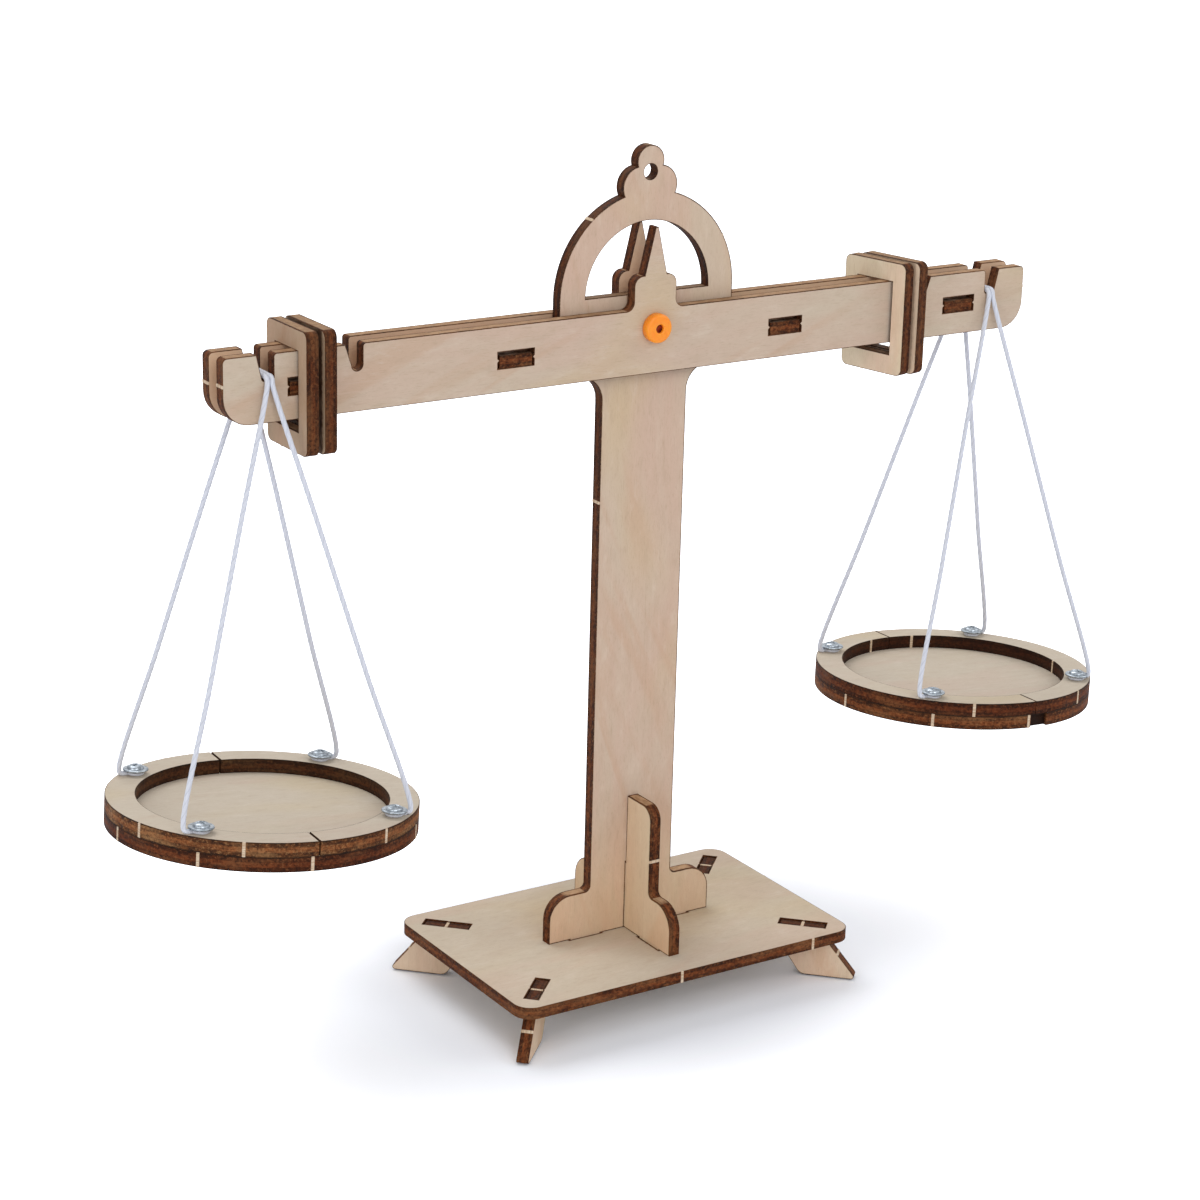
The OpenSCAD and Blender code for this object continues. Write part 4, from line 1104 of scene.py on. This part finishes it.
def string_piece(side, out, material):
    """String from its front screw over the beam to its back screw, and the loops round both screws.
    Returns the string, its loops and the string's path in metres."""
    title = "outer" if out > 0 else "inner"
    front, back = (string_half(side, out, way) for way in (1, -1))
    path, run = smooth_route(np.concatenate([front, back[::-1]]), STRING_STEP)
    points, relief, along, around = string_tube(path, run, STRING_R)
    faces = capped_faces(len(path), STRING_SIDES, len(points), len(points) + 1)
    layers = (("along", np.r_[along, 0, run[-1] * MM]), ("around", np.r_[around, 0, 0]),
              ("relief", np.r_[relief, 0.5, 0.5]))
    points = np.concatenate([points, path[:1], path[-1:]])
    line = new_piece(pan_name(side, f"string_{title}"), points, faces, material, layers)
    angle = np.linspace(0, 2 * math.pi, LOOP_STEPS, endpoint=False)
    tubes = []
    for sy in (-1, 1):
        middle = np.array([side * (HANG_X + out * SCREW_X), sy * SCREW_X, STRING_POINTS[0][2]])
        circle = middle + LOOP_R * np.column_stack([np.cos(angle), np.sin(angle), np.zeros(LOOP_STEPS)])
        tubes.append(string_tube(circle, angle * LOOP_R, LOOP_TUBE_R, True))
    points, relief, along, around = (np.concatenate(part) for part in zip(*tubes))
    quads = grid_faces(LOOP_STEPS, STRING_SIDES, True, True)[:, (0, 3, 2, 1)]
    faces = np.concatenate([quads, quads + len(tubes[0][0])])
    loops = new_piece(pan_name(side, f"loops_{title}"), hung(side, points), faces.tolist(), material,
                      (("along", along), ("around", around), ("relief", relief)))
    for piece in (line, loops):
        outward(piece)
        piece.data.shade_smooth()
    return line, loops, path * MM


# Camera, wood and strings
add_camera()
veneer = veneer_group()
char = char_group()
string_white = white_string()
for side, body in ((-1, "pan_left"), (1, "pan_right")):
    for out, title in ((1, "outer"), (-1, "inner")):
        line, loops, path = string_piece(side, out, string_white)
        for piece in (line, loops):
            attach(piece, body)
        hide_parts(f"{body}_string_{title}")

# Directions of the flat pieces: along the outline's two directions and through the sheet
UPRIGHT = ((1, 0, 0), (0, 0, 1), (0, -1, 0))
CROSSWISE = ((0, 1, 0), (0, 0, 1), (1, 0, 0))
FLAT = ((1, 0, 0), (0, 1, 0), (0, 0, 1))
GRAIN_UP = 90
GRAIN_X = 0


def dress(piece, body, node):
    """Piece that stands for a node and moves with its body."""
    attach(piece, body)
    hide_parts(node)


# Stand
# The column's foot gets painted shade and warm bounce light from the base
wood = plywood("ply_column", veneer, char, GRAIN_UP, (0.31, 0.02, 0.4), tint=(0.98, 0.925, 0.91),
               foot_bounce_tint=(1.13, 1.05, 0.94))
dress(cut_sheet("stand_column", column_loops(), UPRIGHT, (0, 0, 0), wood,
                marks=[[(-16.2, 194.5), (-12, 125.5), (21, 187.5)]],
                border=[STAND_SCORCH_AND_CONTACT_SHADE] + [SCORCH] * 3,
                charred=lambda path: np.interp(path[:, 1], (60, 150), (0, 0.5))), "stand", "column")
# The fin's pale warm tint is painted bounce light from the base
wood = plywood("ply_fin", veneer, char, GRAIN_UP, (0.81, 0.2, 0.1), tint=(1.2, 1.14, 1.0))
dress(cut_sheet("stand_fin", fin_loops(), CROSSWISE, (0, 0, 0), wood, marks=[[(-12.1, 34.7)]],
                border=[STAND_SCORCH_AND_CONTACT_SHADE]), "stand", "brace_fin")
wood = plywood("ply_base", veneer, char, GRAIN_X, (0.13, 0.5, 0.9), 0.3, -0.4, (0.95, 0.96, 0.98))
dress(cut_sheet("stand_base", base_loops(), FLAT, (0, 0, 0), wood, (FOOT_HEIGHT, BASE_TOP),
                marks=[[(-3.4, -30.7), (36, -30.7), (48.5, 8), (-20, 30.7)]],
                border=[SCORCH] * 5 + [SLOT_SCORCH_AND_CONTACT_SHADE] * 4), "stand", "base_plate")
for name, x, y in (("front_left", -1, -1), ("front_right", 1, -1), ("back_left", -1, 1),
                   ("back_right", 1, 1)):
    outward_way = np.array([x, y, 0]) / math.sqrt(2)
    axes = (outward_way, (0, 0, 1), np.cross(outward_way, (0, 0, 1)))
    wood = plywood(f"ply_foot_{name}", veneer, char, GRAIN_UP, (0.2 * x + 0.7, 0.3 * y, 0.6),
                   tint=(1.1, 1.05, 0.98))
    dress(cut_sheet(f"stand_foot_{name}", foot_loops(), axes, (x * SLOT_X, y * SLOT_Y, 0), wood,
                    marks=[[(8.9, 6), (0, FOOT_TAB_TOP)]], bright_top=False,
                    charred=lambda path: 0.5 * (path[:, 1] > FOOT_TAB_TOP - 0.6)),
          "stand", f"foot_{name}")

# Beam
# The beam plates' inner faces get painted shade in a warm tan, for the bounce light between them
for name, middle, mark in (("front", -PLATE_MID_Y, 166.0), ("back", PLATE_MID_Y, 165.4)):
    wood = plywood(f"ply_beam_{name}", veneer, char, GRAIN_X, (0.57 + middle * 0.1, 0.3, 0.7),
                   tint=(0.94, 0.93, 0.93), gap_shade_tone=GAP_BOUNCE_TAN)
    dress(cut_sheet(f"beam_plate_{name}_sheet", beam_loops(), UPRIGHT, (0, middle, 0), wood,
                    marks=[[(-BEAM_HALF, mark), (BEAM_HALF, mark + 1)]],
                    stain=(0.8, 0) if middle < 0 else (0, 0.8),
                    charred=lambda path: np.full(len(path), 0.15)), "beam", f"beam_plate_{name}")
# Spacers get painted shade on both faces, for the shade between the beam plates
for name, x in zip(("outer_left", "inner_left", "inner_right", "outer_right"), WINDOW_XS):
    wood = plywood(f"ply_spacer_{name}", veneer, char, GRAIN_X, (0.1 + x * 0.01, 0.3, 0.2))
    dress(cut_sheet(f"beam_spacer_{name}", spacer_loops(), FLAT, (x, 0, SPACER_Z), wood,
                    stain=(1, 1), bright_top=False), "beam", f"spacer_{name}")
rubber = soft_orange()
for name, side in (("front", -1), ("rear", 1)):
    dress(cap_piece(f"pivot_cap_{name}", side, rubber), "beam", f"axle_cap_{name}")
# The pin takes the steel material in red-brown, painted reflection of the orange cap round its end
pin = bpy.data.objects["axle_pin"]
pin.data.materials.clear()
pin.data.materials.append(plated_steel("pin_steel", PIN_REFLECTED_BRIGHT, PIN_REFLECTED_DULL, 0.5))

# Riders: node, body, place along the beam, turn about Z, tint, and painted shade of the low and the
# high face. The left riders' dark tint is painted shade and the right riders' pale tint painted light.
LEFT_SHADE_TINT = (0.75, 0.66, 0.58)
RIGHT_LIGHT_TINT = (1.2, 1.2, 1.13)
RIDERS = (("rider_left_outer", "rider_left", LEFT_RIDER_X[0], 0, LEFT_SHADE_TINT, (0, 0.95)),
          ("rider_left_inner", "rider_left", LEFT_RIDER_X[1], 0, LEFT_SHADE_TINT, (0.95, 0)),
          ("rider_right_inner", "rider_right", RIGHT_RIDER_X[0], RIGHT_RIDER_TURN, RIGHT_LIGHT_TINT, (0, 0.9)),
          ("rider_right_outer", "rider_right", RIGHT_RIDER_X[1], RIGHT_RIDER_TURN, RIGHT_LIGHT_TINT, (0.35, 0)))
for number, (node, body, x, turn, tint, stain) in enumerate(RIDERS):
    angle = math.radians(turn)
    axes = ((-math.sin(angle), math.cos(angle), 0), (0, 0, 1), (math.cos(angle), math.sin(angle), 0))
    # The painted gap shade fades out near a rider's sides, where its face catches light
    wood = plywood(f"ply_{node}", veneer, char, GRAIN_UP, (0.43 + 0.17 * number, 0.1, 0.3), tint=tint,
                   clear_beyond=RIDER_HALF - 1.4)
    dress(cut_sheet(f"{node}_frame", rider_loops(), axes, (x, 0, 0), wood,
                    marks=[[(3, RIDER_LOW), (RIDER_HALF, 160)]], stain=stain,
                    charred=lambda path: np.full(len(path), 0.3)), body, node)

# Pans, left (-1) and right (1): angles of the broken bridges, lightness of the edges, turns of the screws
DISC_MARKS = {-1: (-173.6, -133.3, -92.5, -35, 20, 80, 130), 1: (-174.9, -133.5, -93.1, 45, 100)}
OUTER_MARKS = {-1: (-159.4, -116.9, -60.7, 40, 110), 1: (-117.2, -62.7, 20, 75)}
INNER_MARKS = {-1: (-120, -40), 1: (103.1, 76.5, -12.5)}
PAN_TINT = (0.93, 0.96, 1.01)
DISC_LIGHT = {-1: -0.8, 1: 0.3}
RING_LIGHT = {-1: 0.7, 1: -0.9}
SCREW_TURNS = {-1: (12, 48, 71, 25), 1: (35, 5, 62, 80)}
screw_steel = plated_steel("screw_steel", SCREW_BRIGHT, SCREW_DULL, 0.3)
for side, body in ((-1, "pan_left"), (1, "pan_right")):
    axes, origin = hung_sheet(side)
    shift = 0.35 + 0.2 * side
    wood = plywood(f"ply_{body}_disc", veneer, char, GRAIN_X, (shift, 0.7, 0.8), 0.25, -0.5, PAN_TINT,
                   edge_light=DISC_LIGHT[side], rim=1.0)
    dress(cut_sheet(pan_name(side, "disc"), disc_loops(side > 0), axes, origin, wood, (DISC_LOW, DISC_TOP),
                    marks=[[on_circle(PAN_R, a) for a in DISC_MARKS[side]]],
                    charred=lambda path: 0.95 * (np.linalg.norm(path, axis=1) < PAN_R - 0.2)),
          body, f"{body}_disc")
    for title, toward in (("outer", side), ("inner", -side)):
        spots = [on_circle(radius, a) for radius, angles in ((PAN_R, OUTER_MARKS), (RING_IN_R, INNER_MARKS))
                 for a in angles[side] if math.cos(math.radians(a)) * toward > 0]
        wood = plywood(f"ply_{body}_ring_{title}", veneer, char, GRAIN_X, (shift, 0.3, 0.5 + toward * 0.1),
                       0.25, -0.5, PAN_TINT, edge_light=RING_LIGHT[side], rim=1.0)
        # The ring's inner wall is charred darker: partly char and partly painted shade inside the pan's
        # hollow
        dress(cut_sheet(pan_name(side, f"ring_{title}"), ring_loops(toward, SPLIT_GAP[side]), axes, origin,
                        wood, (DISC_TOP, RING_TOP), marks=[spots],
                        charred=lambda path: 0.7 * (np.linalg.norm(path, axis=1) < RING_IN_R + 2)),
              body, f"{body}_ring_{title}")
    dress(pan_screws(side, SCREW_TURNS[side], screw_steel), body, f"{body}_screws")


# Floor, background and light. A lamp is its name, its place and the point it faces in metres, its size
# in metres and its power in watts.
FLOOR_HALF = 6000
FLOOR_Z = -0.3
GLOW_START = 36
GLOW_FULL = 110
WORLD_LEVEL = 0.56
LAMPS = (("lamp_front", (-0.25, -1.3, 0.9), (0, 0, 0.1), 0.9, 5.0),
         ("lamp_left", (-1.25, -0.5, 0.4), (0, 0, 0.08), 0.8, 3.0),
         ("lamp_right", (1.1, -0.5, 0.9), (0, 0, 0.1), 0.8, 3.0),
         ("lamp_back", (-0.1, 0.75, 1.35), (0, 0, 0.05), 1.1, 8.0))


def pale_floor():
    """Wide pale floor just under the feet. It glows a little for the camera alone, and fully beyond
    the object's surroundings, so that it ends in the same white as the background."""
    material, wires, shader = new_material("floor_pale", Roughness=0.9, Specular_IOR_Level=0.0,
                                           Emission_Strength=1.0)
    place = wires.place()
    tone = wires.blend(wires.noise(place, 3.0), colour(243, 246, 253), colour(245, 248, 255))
    wires.join(tone, shader.inputs["Base Color"])
    oval = wires.stretched(place, (0.65, 1, 1))
    reach = wires.put("ShaderNodeVectorMath", {0: oval}, operation="LENGTH").outputs["Value"]
    glow = wires.spread(reach, GLOW_START * MM, GLOW_FULL * MM)
    seen = wires.times(glow, wires.put("ShaderNodeLightPath").outputs["Is Camera Ray"])
    grey = wires.put("ShaderNodeCombineColor", {"Red": seen, "Green": seen, "Blue": seen})
    wires.join(grey.outputs["Color"], shader.inputs["Emission Color"])
    corners = [(x * FLOOR_HALF, y * FLOOR_HALF, FLOOR_Z) for x, y in ((-1, -1), (1, -1), (1, 1), (-1, 1))]
    new_piece("floor", corners, [(0, 1, 2, 3)], material)


def studio_light():
    """Even world light, white where it is seen, and soft lamps from the upper left, right and top."""
    world = bpy.data.worlds.new("studio_world")
    bpy.context.scene.world = world
    world.use_nodes = True
    world.node_tree.nodes.clear()
    wires = Wires(world.node_tree)
    path = wires.put("ShaderNodeLightPath")
    seen = wires.sum_of("MAXIMUM", path.outputs["Is Camera Ray"], path.outputs["Is Glossy Ray"])
    seen = wires.sum_of("MAXIMUM", seen, path.outputs["Is Transmission Ray"])
    strength = wires.spread(seen, 0.0, 1.0, WORLD_LEVEL, 1.0)
    glow = wires.put("ShaderNodeBackground", {"Color": (1.0, 1.0, 1.0, 1.0), "Strength": strength})
    wires.put("ShaderNodeOutputWorld", {"Surface": glow.outputs["Background"]})
    for name, place, aim, size, power in LAMPS:
        lamp = bpy.data.objects.new(name, bpy.data.lights.new(name, "AREA"))
        lamp.data.shape = "DISK"
        lamp.data.size = size
        lamp.data.energy = power
        lamp.location = place
        lamp.rotation_euler = (Vector(aim) - Vector(place)).to_track_quat("-Z", "Y").to_euler()
        bpy.context.collection.objects.link(lamp)


pale_floor()
studio_light()
bpy.context.scene.view_settings.view_transform = "Standard"
